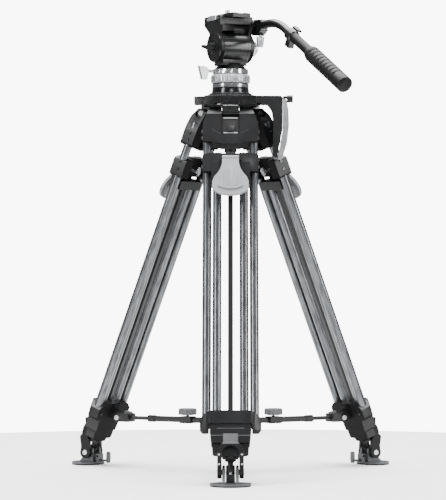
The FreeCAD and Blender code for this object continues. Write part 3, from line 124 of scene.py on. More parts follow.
@dataclass(frozen=True)
class Finish:
    """A plain finish: two close colours, a grain in millimetres and the shader's constants."""

    name: str
    dark: str
    light: str
    roughness: float
    metallic: float = 0.0
    grain_mm: float = 0.6
    bump: float = 0.12
    coat: float = 0.0
    gloss: float = 0.5
    pattern: Pattern = Pattern.CAST
    centre: tuple[float, float, float] = (0.0, 0.0, 0.0)
    coat_roughness: float = 0.12
    ramp_ends: tuple[float, float] = (0.35, 0.68)
    relief_mm: float = 0.3
    cloud_mm: float = 40.0
    speck_share: float = 0.45
    smoother: float = 0.06
    rougher: float = 0.08
    knurl_radius_mm: float = 38.0

    def blank(self) -> bpy.types.Material:
        """A new material with the finish's constants on its shader.

        Returns:
            The material, whose pattern is not linked yet.
        """
        made = bpy.data.materials.new(self.name)
        made.use_nodes = True
        shader = made.node_tree.nodes["Principled BSDF"]
        shader.inputs["Metallic"].default_value = self.metallic
        shader.inputs["Coat Weight"].default_value = self.coat
        shader.inputs["Coat Roughness"].default_value = self.coat_roughness
        shader.inputs["Specular IOR Level"].default_value = self.gloss
        return made

    def link_colour(self, tree: bpy.types.NodeTree, mix: bpy.types.NodeSocket) -> None:
        """Spread the finish's two colours over a pattern.

        Args:
            tree: the material's node tree.
            mix: the pattern's value.
        """
        ramp = add_node(tree, "ShaderNodeValToRGB", links={"Fac": mix})
        for element, place, code in zip(ramp.color_ramp.elements, self.ramp_ends, (self.dark, self.light)):
            element.position = place
            element.color = linear(code)
        tree.links.new(ramp.outputs["Color"], tree.nodes["Principled BSDF"].inputs["Base Color"])

    def link_bump(self, tree: bpy.types.NodeTree, height: bpy.types.NodeSocket) -> None:
        """Raise the finish's relief.

        Args:
            tree: the material's node tree.
            height: the relief's height.
        """
        bump = add_node(tree, "ShaderNodeBump", {"Strength": self.bump, "Distance": self.relief_mm * MM},
                        {"Height": height})
        tree.links.new(bump.outputs["Normal"], tree.nodes["Principled BSDF"].inputs["Normal"])

    def material(self) -> bpy.types.Material:
        """The finish's material, made once.

        Returns:
            The material.
        """
        known = bpy.data.materials.get(self.name)
        if known:
            return known
        made = self.blank()
        tree = made.node_tree
        place = add_node(tree, "ShaderNodeTexCoord").outputs["Object"]
        height = self.relief(tree, place)
        cloud = add_node(tree, "ShaderNodeTexNoise", {"Scale": 1 / (self.cloud_mm * MM), "Detail": 4.0},
                         {"Vector": place}).outputs["Fac"]
        speck = add_node(tree, "ShaderNodeTexNoise", {"Scale": 1 / (self.grain_mm * MM), "Detail": 2.0},
                         {"Vector": place}).outputs["Fac"]
        broad = add_node(tree, "ShaderNodeMath", {"operation": "MULTIPLY", 1: 1 - self.speck_share},
                         {0: cloud}).outputs[0]
        blend = add_node(tree, "ShaderNodeMath", {"operation": "MULTIPLY_ADD", 1: self.speck_share},
                         {0: speck, 2: broad}).outputs[0]
        rough = add_node(tree, "ShaderNodeMapRange", {"To Min": self.roughness - self.smoother,
                                                      "To Max": self.roughness + self.rougher},
                         {"Value": cloud})
        tree.links.new(rough.outputs["Result"], tree.nodes["Principled BSDF"].inputs["Roughness"])
        self.link_colour(tree, blend)
        self.link_bump(tree, height)
        return made

    def relief(self, tree: bpy.types.NodeTree, place: bpy.types.NodeSocket) -> bpy.types.NodeSocket:
        """The height that the finish's bump reads.

        Args:
            tree: the material's node tree.
            place: the object coordinates.

        Returns:
            The height socket.
        """
        if self.pattern in (Pattern.CAST, Pattern.MOULDED):
            return add_node(tree, "ShaderNodeTexNoise", {"Scale": 1 / (self.grain_mm * MM), "Detail": 3.0},
                            {"Vector": place}).outputs["Fac"]
        centred = add_node(tree, "ShaderNodeMapping", {"Location": tuple(-c for c in self.centre)},
                           {"Vector": place}).outputs["Vector"]
        parts = add_node(tree, "ShaderNodeSeparateXYZ", links={"Vector": centred})
        rate = math.tau / (self.grain_mm * MM)
        if self.pattern is Pattern.TURNED:
            # Fine turning lines run round the piece, so they repeat along its height.
            return self.sine(tree, parts.outputs["Z"], rate)
        angle = add_node(tree, "ShaderNodeMath", {"operation": "ARCTAN2"},
                         {0: parts.outputs["Y"], 1: parts.outputs["X"]}).outputs[0]
        if self.pattern is Pattern.KNURLED:
            # Two crossing screw lines leave the small diamonds of a knurling wheel.
            turns = round(math.tau * self.knurl_radius_mm / self.grain_mm)
            around = add_node(tree, "ShaderNodeMath", {"operation": "MULTIPLY", 1: float(turns)},
                              {0: angle}).outputs[0]
            up = add_node(tree, "ShaderNodeMath", {"operation": "MULTIPLY", 1: rate},
                          {0: parts.outputs["Z"]}).outputs[0]
            one = add_node(tree, "ShaderNodeMath", {"operation": "ADD"}, {0: around, 1: up}).outputs[0]
            two = add_node(tree, "ShaderNodeMath", {"operation": "SUBTRACT"}, {0: around, 1: up}).outputs[0]
            return add_node(tree, "ShaderNodeMath", {"operation": "MULTIPLY"},
                            {0: self.sine(tree, one, 1.0), 1: self.sine(tree, two, 1.0)}).outputs[0]
        warp = self.sine(tree, parts.outputs["Z"], rate)
        weft = self.sine(tree, parts.outputs["Y"], rate)
        return add_node(tree, "ShaderNodeMath", {"operation": "MULTIPLY"}, {0: warp, 1: weft}).outputs[0]

    @staticmethod
    def sine(tree: bpy.types.NodeTree, value: bpy.types.NodeSocket, scale: float) -> bpy.types.NodeSocket:
        """A sine of a scaled value.

        Args:
            tree: the material's node tree.
            value: the value.
            scale: what it is multiplied by first.

        Returns:
            The sine's socket.
        """
        scaled = add_node(tree, "ShaderNodeMath", {"operation": "MULTIPLY", 1: scale}, {0: value})
        return add_node(tree, "ShaderNodeMath", {"operation": "SINE"}, {0: scaled.outputs[0]}).outputs[0]


@dataclass(frozen=True)
class CarbonWeave(Finish):
    """Lacquered carbon tube: tows woven over each other under a clear coat.

    The weave reads the tube's own UV map, in metres round and along the tube.  A real tow is
    about 2 mm wide; it is drawn at tow_mm so that it still shows at arm's length.
    """

    tow_mm: float = 2.0
    coat_roughness: float = 0.06
    ramp_ends: tuple[float, float] = (0.24, 0.84)
    relief_mm: float = 0.15
    lean: float = 0.25
    streak_mm: float = 5.5
    streak_stretch: float = 0.14
    weave_share: float = 0.07

    def material(self) -> bpy.types.Material:
        """The weave's material, made once.

        Returns:
            The material.
        """
        known = bpy.data.materials.get(self.name)
        if known:
            return known
        made = self.blank()
        tree = made.node_tree
        tree.nodes["Principled BSDF"].inputs["Roughness"].default_value = self.roughness
        wrap = add_node(tree, "ShaderNodeUVMap", {"uv_map": "wrap"}).outputs["UV"]
        parts = add_node(tree, "ShaderNodeSeparateXYZ", links={"Vector": wrap})
        rate = math.tau / (self.tow_mm * MM)
        slow = add_node(tree, "ShaderNodeMath", {"operation": "MULTIPLY", 1: self.lean},
                        {0: parts.outputs["Y"]}).outputs[0]
        lean = add_node(tree, "ShaderNodeMath", {"operation": "ADD"}, {0: parts.outputs["X"], 1: slow})
        back = add_node(tree, "ShaderNodeMath", {"operation": "SUBTRACT"}, {0: parts.outputs["X"], 1: slow})
        weave = add_node(tree, "ShaderNodeMath", {"operation": "MULTIPLY"},
                         {0: self.sine(tree, lean.outputs[0], rate),
                          1: self.sine(tree, back.outputs[0], rate)}).outputs[0]
        # The tows wander, so the tube shows long soft streaks about a finger's width apart.
        stretch = add_node(tree, "ShaderNodeMapping", {"Scale": (1.0, self.streak_stretch, 1.0)},
                           {"Vector": wrap})
        flow = add_node(tree, "ShaderNodeTexNoise",
                        {"Scale": 1 / (self.streak_mm * MM), "Detail": 2.0, "Distortion": 0.3},
                        {"Vector": stretch.outputs["Vector"]}).outputs["Fac"]
        mix = add_node(tree, "ShaderNodeMath", {"operation": "MULTIPLY_ADD", 1: self.weave_share},
                       {0: weave, 2: flow}).outputs[0]
        self.link_colour(tree, mix)
        self.link_bump(tree, weave)
        return made


# Die-cast aluminium under fine black powder coat: very dark, with soft broad highlights.
POWDER_COAT = Finish("powder_coated_casting", "050506", "111214", 0.36, grain_mm=0.5, bump=0.14, gloss=0.3)
# The shoulder's coat is smoother, so its arched panels catch the light.
SATIN_COAT = Finish("satin_coated_casting", "070708", "121315", 0.26, grain_mm=0.4, bump=0.06, coat=0.25,
                    gloss=0.35)
# The same casting, lacquered smoother on the drum: sharper highlights.
DRUM_LACQUER = Finish("lacquered_drum", "050506", "0c0d0e", 0.3, grain_mm=0.4, bump=0.04, coat=0.12,
                      gloss=0.35)
# Glass-filled nylon, moulded: nearly black with a fine spark-eroded grain.
NYLON = Finish("moulded_nylon", "040405", "0e0f10", 0.44, grain_mm=0.8, bump=0.2, gloss=0.3,
               pattern=Pattern.MOULDED)
# Light grey ABS, moulded: even and softly shining.
GREY_ABS = Finish("moulded_grey_abs", "77787b", "87888b", 0.42, grain_mm=0.7, bump=0.08,
                  pattern=Pattern.MOULDED)
# Thermoplastic rubber: matt and dark.
RUBBER = Finish("moulded_rubber", "030303", "09090a", 0.5, grain_mm=0.9, bump=0.3, gloss=0.18,
                pattern=Pattern.MOULDED)
# Light grey rubber of the tabs and knobs.
GREY_RUBBER = Finish("grey_rubber", "3c3d3f", "535557", 0.6, grain_mm=0.8, bump=0.2, pattern=Pattern.MOULDED)
# Grey anodised aluminium: mid grey with a dry metallic sheen.
GREY_ANODISED = Finish("grey_anodised_aluminium", "3d3e40", "525456", 0.45, metallic=0.5, grain_mm=0.4,
                       bump=0.08)
# Satin anodised aluminium: pale, soft metal.
SATIN = Finish("satin_anodised_aluminium", "a2a4a6", "c3c5c7", 0.34, metallic=0.85, grain_mm=0.4, bump=0.06)
# Bright turned steel: clear reflections with fine lines round the piece.
STEEL = Finish("turned_steel", "8d8f91", "b9bbbd", 0.2, metallic=1.0, grain_mm=0.9, bump=0.05,
               pattern=Pattern.TURNED)
# Black-chromed steel: dark mirror.
BLACK_CHROME = Finish("black_chromed_steel", "2c2d2f", "48494b", 0.2, metallic=1.0, grain_mm=0.8, bump=0.04,
                      pattern=Pattern.TURNED)
# Nylon webbing: flat grey weave.
WEBBING = Finish("woven_nylon_webbing", "626365", "8c8d8f", 0.75, grain_mm=2.4, bump=0.6,
                 pattern=Pattern.WOVEN)
# Painted shade: the castings' down-facing faces get this darker, matt black, which stands in for the shade
# under them.
UNDERSIDE_SHADE = Finish("matt_painted_underside_shade", "030303", "080809", 0.8, grain_mm=0.5, bump=0.1, gloss=0.12)
# Carbon weave under lacquer: streaked greys under a hard gloss.
CARBON = CarbonWeave("lacquered_carbon_weave", "343537", "76787b", 0.3, metallic=0.85, bump=0.02, coat=0.45)


@dataclass(frozen=True)
class Axes:
    """A sub-assembly's own axes, taken from its joints."""

    origin: Vector
    across: Vector
    out: Vector

    @property
    def up(self) -> Vector:
        """The third axis."""
        return self.across.cross(self.out)

    def matrix(self) -> Matrix:
        """The turn and shift from these axes to the frame's."""
        turn = Matrix((self.across, self.out, self.up)).transposed().to_4x4()
        return Matrix.Translation(self.origin) @ turn

    def local(self, point: Vector) -> Vector:
        """A frame point in these axes, in millimetres."""
        return (self.matrix().inverted() @ point) / MM


def body_of(node: str) -> str:
    """The body that a CAD node rides on."""
    return frame["nodes"][node]["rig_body"]


def finish_mesh(piece: bpy.types.Object, bevel_mm: float, smooth_deg: float = 38.0) -> None:
    """Shade a piece smooth and round its sharp edges.

    Args:
        piece: the object.
        bevel_mm: the width of the rounding; none at zero.
        smooth_deg: edges sharper than this stay sharp.
    """
    for polygon in piece.data.polygons:
        polygon.use_smooth = True
    if bevel_mm:
        bevel = piece.modifiers.new("edge", "BEVEL")
        bevel.width = bevel_mm * MM
        bevel.segments = 2
        bevel.limit_method = "ANGLE"
        bevel.angle_limit = math.radians(smooth_deg)
        bevel.harden_normals = True
    piece.data.set_sharp_from_angle(angle=math.radians(smooth_deg))


def new_piece(name: str, shape: bmesh.types.BMesh, finishes: list[Finish], body: str,
              bevel_mm: float = 0.0) -> bpy.types.Object:
    """Turn a bmesh into a finished piece that rides on a body.

    Args:
        name: the piece's name.
        shape: the mesh, already in place; it is freed.
        finishes: the piece's finishes in slot order.
        body: the CAD body it rides on.
        bevel_mm: edge rounding.

    Returns:
        The new object.
    """
    bmesh.ops.remove_doubles(shape, verts=shape.verts, dist=0.002 * MM)
    bmesh.ops.recalc_face_normals(shape, faces=shape.faces)
    mesh = bpy.data.meshes.new(name)
    shape.to_mesh(mesh)
    shape.free()
    piece = bpy.data.objects.new(name, mesh)
    bpy.context.scene.collection.objects.link(piece)
    for finish in finishes:
        mesh.materials.append(finish.material())
    finish_mesh(piece, bevel_mm)
    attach(piece, body)
    LOG.info("%s: %d faces on %s", name, len(mesh.polygons), body)
    return piece


def aim(place: Vector, axis: Vector) -> Matrix:
    """The matrix that stands a piece at a place with its z along an axis."""
    return Matrix.Translation(place) @ axis.to_track_quat("Z", "Y").to_matrix().to_4x4()


def add_turned(shape: bmesh.types.BMesh, profile: list[tuple[float, float]], where: Matrix,
               steps: int = 32) -> None:
    """Spin a profile of (radius, height) points in millimetres about z and place it.

    Args:
        shape: the mesh to add to.
        profile: the points, from one end of the axis to the other.
        where: the place.
        steps: the number of steps round.
    """
    verts = [shape.verts.new((radius * MM, 0, height * MM)) for radius, height in profile]
    edges = [shape.edges.new(couple) for couple in zip(verts, verts[1:])]
    bmesh.ops.spin(shape, geom=verts + edges, cent=(0, 0, 0), axis=(0, 0, 1), angle=math.tau,
                   steps=steps, use_merge=True)
    fresh = [v for v in shape.verts if not v.tag]
    bmesh.ops.transform(shape, matrix=where, verts=fresh)
    for vert in fresh:
        vert.tag = True


def add_block(shape: bmesh.types.BMesh, size: tuple[float, float, float], where: Matrix) -> None:
    """Add a block of a size in millimetres at a place."""
    scale = Matrix.Diagonal((*[s * MM for s in size], 1))
    made = bmesh.ops.create_cube(shape, size=1.0, matrix=where @ scale)
    for vert in made["verts"]:
        vert.tag = True


def add_screw(shape: bmesh.types.BMesh, radius: float, height: float, where: Matrix) -> None:
    """Add a cap screw's head with its six-sided socket.

    Args:
        shape: the mesh to add to.
        radius: the head's radius in millimetres.
        height: the head's height in millimetres.
        where: the place, with the screw's axis along z.
    """
    socket = radius * 0.55
    add_turned(shape, [(radius, -0.4), (radius, height * 0.75), (radius * 0.88, height), (socket, height)],
               where, 20)
    add_turned(shape, [(socket, height), (radius * 0.5, height * 0.35), (0, height * 0.3)], where, 6)


def touch(node: str, outside: Vector, inward: Vector) -> Vector | None:
    """The point where a ray from outside first meets a CAD node.

    Args:
        node: the CAD node.
        outside: where the ray starts.
        inward: its direction.

    Returns:
        The point on the node's surface, or None if the ray misses it.
    """
    mesh = frame["nodes"][node].data
    tree = BVHTree.FromPolygons([v.co for v in mesh.vertices], [p.vertices for p in mesh.polygons])
    return tree.ray_cast(outside, inward)[0]


def add_ridge(shape: bmesh.types.BMesh, path: list[Vector], out: Vector, width: float, height: float) -> None:
    """Add a thin ridge with a diamond section along a path on a surface.

    Args:
        shape: the mesh to add to.
        path: points on the surface, in metres.
        out: the surface's outward direction.
        width: the ridge's width in millimetres.
        height: how far it stands out, in millimetres.
    """
    rings = []
    for here, point in enumerate(path):
        along = (path[min(here + 1, len(path) - 1)] - path[max(here - 1, 0)]).normalized()
        side = along.cross(out).normalized() * width / 2 * MM
        lift = out * height * MM
        rings.append([shape.verts.new(point + shift) for shift in (side, lift, -side, -lift)])
    for one, two in zip(rings, rings[1:]):
        for index in range(4):
            shape.faces.new((one[index], one[index - 1], two[index - 1], two[index]))
    shape.faces.new(rings[0])
    shape.faces.new(reversed(rings[-1]))
    for ring in rings:
        for vert in ring:
            vert.tag = True


def solids_of(shape: bmesh.types.BMesh) -> list[list[bmesh.types.BMFace]]:
    """The faces of each separate solid of a mesh."""
    waiting = set(shape.faces)
    solids = []
    while waiting:
        front = [waiting.pop()]
        solid = list(front)
        while front:
            near = {other for edge in front.pop().edges for other in edge.link_faces} & waiting
            waiting -= near
            front += near
            solid += near
        solids.append(solid)
    return solids


@dataclass(frozen=True)
class Casting:
    """A CAD piece shown through its own merged copy, with rounded edges and sorted finishes."""

    node: str
    finishes: list[Finish]
    rule: Callable[[Vector], int] | None = None
    bevel_mm: float = 0.5
    by_solid: bool = False
    tubes: tuple[Axes, list[tuple[float, float]]] | None = None
    # under: a darker finish for down-facing faces, which is painted shade under the piece.
    under: Finish | None = None
    facing_down: float = -0.3

    def build(self) -> bpy.types.Object:
        """Copy the node, merge it, sort its finishes and hide the original.

        Returns:
            The piece that stands for the node.
        """
        shape = bmesh.new()
        shape.from_mesh(frame["nodes"][self.node].data)
        bmesh.ops.remove_doubles(shape, verts=shape.verts, dist=0.003 * MM)
        bmesh.ops.dissolve_limit(shape, angle_limit=math.radians(0.4), verts=shape.verts, edges=shape.edges,
                                 use_dissolve_boundaries=False, delimit={"NORMAL"})
        if self.rule and self.by_solid:
            for faces in solids_of(shape):
                verts = {vert for face in faces for vert in face.verts}
                middle = sum((vert.co for vert in verts), Vector()) / len(verts)
                for face in faces:
                    face.material_index = self.rule(middle)
        elif self.rule:
            for face in shape.faces:
                face.material_index = self.rule(face.calc_center_median())
        finishes = list(self.finishes)
        # Painted shade: down-facing faces that have no other finish take the darker under finish.
        if self.under:
            finishes.append(self.under)
            shape.normal_update()
            for face in shape.faces:
                if face.normal.z < self.facing_down and not face.material_index:
                    face.material_index = len(self.finishes)
        if self.tubes:
            self.wrap(shape)
        mesh = bpy.data.meshes.new(self.node + "_shown")
        shape.to_mesh(mesh)
        shape.free()
        piece = bpy.data.objects.new(self.node + "_shown", mesh)
        bpy.context.scene.collection.objects.link(piece)
        for finish in finishes:
            mesh.materials.append(finish.material())
        finish_mesh(piece, self.bevel_mm)
        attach(piece, body_of(self.node))
        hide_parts(self.node)
        LOG.info("%s: %d faces", piece.name, len(mesh.polygons))
        return piece

    def wrap(self, shape: bmesh.types.BMesh) -> None:
        """Lay a UV map round each tube, in metres round and along it."""
        axes, centres = self.tubes
        layer = shape.loops.layers.uv.new("wrap")
        for face in shape.faces:
            middle = axes.local(face.calc_center_median())
            cx, cy = min(centres, key=lambda c: (middle.x - c[0]) ** 2 + (middle.y - c[1]) ** 2)
            facing = math.atan2(middle.y - cy, middle.x - cx)
            for loop in face.loops:
                point = axes.local(loop.vert.co)
                angle = math.atan2(point.y - cy, point.x - cx)
                turn = (angle - facing + math.pi) % math.tau - math.pi + facing
                radius = math.hypot(point.x - cx, point.y - cy)
                loop[layer].uv = (turn * radius * MM + cx * 3 * MM, point.z * MM)


@dataclass(frozen=True)
class Leg:
    """One two-stage leg with its foot; sizes in millimetres in the leg's or the foot's own axes."""

    tag: str
    spread: float = 45.6
    inner: float = 26.0
    offset: float = 6.0
    strip_half: float = 20.0
    tongue_front: float = -9.0
    tubes_end: float = 693.0
    spike_radius: float = 9.0
    boot_drop: float = 733.8
    spike_drop: float = 747.6
    cap_rise: float = 54.0
    cap_top: float = 67.5
    cap_half: float = 14.2
    cap_front: float = 5.5
    pin_radius: float = 5.4
    pin_end: float = 25.2
    sole_thickness: float = 2.6
    ledge_drops: tuple[float, float] = (19.0, 51.0)
    smile_start: float = 19.0
    smile_half: float = 38.0
    smile_drop: float = 57.0
    smile_rise: float = 13.0
    smile_steps: int = 8
    collar_highlight_lines: tuple[tuple[float, float], ...] = ((26.0, 664.0), (44.0, 678.0))
    ray_start: float = 90.0
    cheek_half: float = 55.0
    knuckle_screws: tuple[float, float] = (43.0, 57.0)
    bracket_screws: tuple[float, float] = (103.0, 119.0)

    def axes(self) -> Axes:
        """Across, outwards and up the leg, from the hinge pin."""
        hinge = JOINTS[self.tag + "_leg_spread"]
        down = Vector(JOINTS[self.tag + "_upper_stage"]["axis"])
        across = Vector(hinge["axis"])
        return Axes(Vector(hinge["pos_m"]), across, (-down).cross(across))

    def foot_axes(self) -> Axes:
        """Across, outwards and upright, from the foot pin."""
        pin = JOINTS[self.tag + "_foot_tilt"]
        across = Vector(pin["axis"])
        return Axes(Vector(pin["pos_m"]), across, UPRIGHT.cross(across))

    def build(self) -> None:
        """Build and dress every piece of the leg."""
        axes, foot, tag = self.axes(), self.foot_axes(), self.tag
        outer = (axes, [(-self.spread, 0.0), (self.spread, 0.0)])
        inner = (axes, [(-self.inner, self.offset), (self.inner, self.offset)])

        def pin_end(point: Vector) -> int:
            """The hinge pin's ends stand outside the knuckle's cheeks."""
            return int(abs(axes.local(point).x) > self.spread / 2)

        def rod(point: Vector) -> int:
            """The release strip runs between the two tubes."""
            return int(abs(axes.local(point).x) < self.strip_half)

        def tongue(point: Vector) -> int:
            """The bracket's tongue lies in front of its casting."""
            return int(axes.local(point).y < self.tongue_front)

        def slider(point: Vector) -> int:
            """The slider block lies between the middle tubes."""
            return int(abs(axes.local(point).x) < self.inner / 2)

        def spike(point: Vector) -> int:
            """Tubes above the casting, a rubber boot and then steel below it."""
            place = axes.local(point)
            if place.z > -self.tubes_end:
                return 1
            if abs(place.x) < self.spike_radius and place.z < -self.spike_drop:
                return 2
            return 3 if abs(place.x) < self.spike_radius and place.z < -self.boot_drop else 0

        def arm(point: Vector) -> int:
            """The cap on the yoke's top and the foot pin's ends."""
            place = foot.local(point)
            proud = place.y > self.cap_front or place.z > self.cap_top
            if place.z > self.cap_rise and abs(place.x) < self.cap_half and proud:
                return 1
            pin = math.hypot(place.y, place.z) < self.pin_radius and abs(place.x) > self.pin_end
            return 2 if pin else 0

        def sole(point: Vector) -> int:
            """The rubber sole is the plate's lowest layer."""
            return int(point.z < self.sole_thickness * MM)

        Casting(tag + "_knuckle", [POWDER_COAT, STEEL], pin_end, 1.8, True, under=UNDERSIDE_SHADE).build()
        Casting(tag + "_angle_latch", [NYLON], None, 0.6).build()
        Casting(tag + "_upper_tubes", [CARBON, NYLON], rod, 0.2, True, outer).build()
        Casting(tag + "_pedal_bracket", [POWDER_COAT, SATIN], tongue, 1.4, True, under=UNDERSIDE_SHADE).build()
        Casting(tag + "_pedal", [GREY_ABS], None, 0.6).build()
        Casting(tag + "_upper_collar", [POWDER_COAT], None, 1.6, under=UNDERSIDE_SHADE).build()
        Casting(tag + "_middle_tubes", [CARBON, NYLON], slider, 0.2, True, inner).build()
        Casting(tag + "_lower_collar", [POWDER_COAT], None, 1.4, under=UNDERSIDE_SHADE).build()
        Casting(tag + "_foot_casting", [POWDER_COAT, CARBON, STEEL, RUBBER], spike, 0.4, tubes=inner,
                under=UNDERSIDE_SHADE).build()
        Casting(tag + "_foot_yoke", [RUBBER, GREY_RUBBER, SATIN], arm, 0.8).build()
        Casting(tag + "_foot_plate", [GREY_ANODISED, RUBBER], sole, 0.5).build()
        Casting(tag + "_foot_lever", [GREY_ANODISED], None, 0.5).build()
        self.ledge_highlights(axes)
        self.creases(axes)
        self.screws(axes, foot)

    def creases(self, axes: Axes) -> None:
        """The knuckle's smile-shaped crease, and thin grey ridges across the lower collar whose grey is a
        painted highlight standing in for the collar's edge highlights.
        """
        place = axes.matrix()

        def on_front(node: str, line: list[tuple[float, float]]) -> list[Vector]:
            """Lay a line of (side, drop) points on a node's front face."""
            hits = [touch(node, place @ (Vector((side, self.ray_start, -drop)) * MM), -axes.out)
                    for side, drop in line]
            level = max(hit.dot(axes.out) for hit in hits if hit)
            return [hit for hit in hits if hit and hit.dot(axes.out) > level - 1.0 * MM]

        shape = bmesh.new()
        half, near = self.smile_half, self.smile_start / self.smile_half
        for side in (-1, 1):
            line = [(side * (self.smile_start + (half - self.smile_start) * step / self.smile_steps),
                     self.smile_drop - self.smile_rise * (near + (1 - near) * step / self.smile_steps) ** 2)
                    for step in range(self.smile_steps + 1)]
            add_ridge(shape, on_front(self.tag + "_knuckle", line), axes.out, 1.8, 0.7)
        new_piece(self.tag + "_knuckle_crease", shape, [SATIN_COAT], self.tag + "_latch")
        # Grey ridges on the dark collar: painted highlight lines where the collar's edges catch the light.
        shape = bmesh.new()
        for reach, drop in self.collar_highlight_lines:
            path = on_front(self.tag + "_lower_collar", [(reach * step / 6, drop) for step in range(-6, 7)])
            add_ridge(shape, path, axes.out, 1.2, 0.5)
        new_piece(self.tag + "_collar_highlight_lines", shape, [GREY_ANODISED], self.tag + "_middle")

    def ledge_highlights(self, axes: Axes) -> None:
        """Raised bars of the angle lock in the knuckle's channel; their pale satin metal is a painted
        highlight standing in for the bars' bright reflections.
        """
        place = axes.matrix()
        shape = bmesh.new()
        for drop in self.ledge_drops:
            add_block(shape, (28, 1.4, 2.6), place @ Matrix.Translation((0, 12.9 * MM, -drop * MM)))
        # The pale satin colour paints the reflections that the dark bars catch.
        new_piece(self.tag + "_latch_ledges", shape, [SATIN], self.tag + "_latch", 0.3)
        radial = Vector((axes.out.x, axes.out.y, 0)).normalized()
        upright = Matrix((axes.across, radial, UPRIGHT)).transposed().to_4x4()
        shape = bmesh.new()
        spot = axes.origin + radial * 13.3 * MM + Vector((0, 0, 13.0 * MM))
        add_block(shape, (30, 1.4, 1.8), Matrix.Translation(spot) @ upright)
        new_piece(self.tag + "_lug_ledges", shape, [SATIN], "shoulder", 0.3)

    def screws(self, axes: Axes, foot: Axes) -> None:
        """Cap screws on the castings and rivets on the yoke."""
        place, across, out = axes.matrix(), axes.across, axes.out
        shape = bmesh.new()
        for side in (-1, 1):
            for drop in self.knuckle_screws:
                spot = place @ (Vector((side * self.cheek_half, 0, -drop)) * MM)
                add_screw(shape, 3.0, 2.0, aim(spot, across * side))
            for drop in self.bracket_screws:
                spot = place @ (Vector((side * self.cheek_half, 0, -drop)) * MM)
                add_screw(shape, 2.6, 1.8, aim(spot, across * side))
            spot = place @ (Vector((side * self.spread, -13, -650)) * MM)
            add_screw(shape, 2.6, 1.8, aim(spot, -out))
        new_piece(self.tag + "_leg_screws", shape, [BLACK_CHROME], self.tag + "_leg")
        shape = bmesh.new()
        for side in (-21.5, 21.5):
            for rise in (16.0, 34.0):
                before = foot.matrix() @ (Vector((side, 60, rise)) * MM)
                spot = touch(self.tag + "_foot_yoke", before, -foot.out)
                if spot:
                    add_turned(shape, [(2.0, -0.3), (1.8, 0.6), (0.9, 1.0), (0, 1.1)],
                               aim(spot, foot.out), 16)
        new_piece(self.tag + "_yoke_rivets", shape, [SATIN], self.tag + "_lower")
        shape = bmesh.new()
        for side in (-1, 1):
            spot = foot.matrix() @ (Vector((side * 12.9, -8, 8.6)) * MM)
            add_turned(shape, [(2.4, 0), (2.6, 0.8), (2.6, 2.6), (1.6, 3.6), (0, 3.8)],
                       aim(spot, foot.up), 16)
        new_piece(self.tag + "_ear_caps", shape, [RUBBER], self.tag + "_plate")


@dataclass(frozen=True)
class Spreader:
    """The mid-level spreader: hub, arms, rods and knobs."""

    tab_rise: float = 8.7
    pin_rise: float = 8.5
    fork_half: float = 15.1

    def build(self) -> None:
        """Dress the hub, the rods and the knobs."""
        pin_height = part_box("front_spreader_rod")[0].z + self.pin_rise * MM
        axis = Vector(JOINTS["pan"]["pos_m"])
        Casting("spreader_hub", [NYLON], None, 0.6).build()
        for tag in LEGS:
            across = Vector(JOINTS[tag + "_leg_spread"]["axis"])

            def part(point: Vector, across: Vector = across) -> int:
                """The pin's ends beside the fork, and the grey tab on top."""
                side = abs((point - axis).dot(across))
                if side > self.fork_half * MM:
                    return 1
                return 2 if point.z > pin_height + self.tab_rise * MM else 0

            Casting(tag + "_spreader_rod", [NYLON, SATIN, GREY_RUBBER], part, 0.5).build()
            Casting(tag + "_spreader_knob", [GREY_RUBBER], None, 0.5).build()


@dataclass(frozen=True)
class Shoulder:
    """Shoulder casting, levelling bowl, tie-down and carry handle."""

    strap_depth: float = 19.0
    knob_drop: float = 16.0
    lean_drop: float = 95.0
    lean: float = 0.3
    ring_rise: float = -7.0
    deck_rise: float = -6.0
    screw_circle: float = 50.0
    screw_count: int = 6

    def build(self) -> None:
        """Dress the shoulder and its handle."""
        Casting("shoulder", [SATIN_COAT], None, 1.2, under=UNDERSIDE_SHADE).build()
        _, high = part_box("carry_handle")
        edge = high.x - self.strap_depth * MM

        def strap(point: Vector) -> int:
            """The end knob on top, and the webbing that leans in below it."""
            if point.z > high.z - self.knob_drop * MM and point.x > edge + 2 * MM:
                return 2
            lean = min(0.0, (point.z - high.z + self.lean_drop * MM) * self.lean)
            return int(point.x > edge + 0.4 * MM + lean)

        Casting("carry_handle", [POWDER_COAT, WEBBING, NYLON], strap, 0.8).build()
        Casting("clamp_washer", [STEEL], None, 0.4).build()
        Casting("tie_down_knob", [NYLON], None, 0.8).build()
        ring_foot = Vector(JOINTS["drag_ring_turn"]["pos_m"]).z + self.ring_rise * MM

        def flange(point: Vector) -> int:
            """The bright column stands above the black flange."""
            return int(point.z > ring_foot)

        Casting("level_ball", [BLACK_CHROME, STEEL], flange, 0.5).build()
        self.screws()

    def screws(self) -> None:
        """Cap screws on the deck's rim."""
        axis = Vector(JOINTS["pan"]["pos_m"])
        deck = Vector(JOINTS["level_roll"]["pos_m"]).z + self.deck_rise * MM
        circle = self.screw_circle * MM
        shape = bmesh.new()
        for index in range(self.screw_count):
            angle = math.radians(360 / self.screw_count * index + 30)
            spot = Vector((axis.x + circle * math.cos(angle), axis.y + circle * math.sin(angle), deck))
            add_screw(shape, 2.8, 2.0, aim(spot, UPRIGHT))
        new_piece("deck_screws", shape, [BLACK_CHROME], "shoulder")


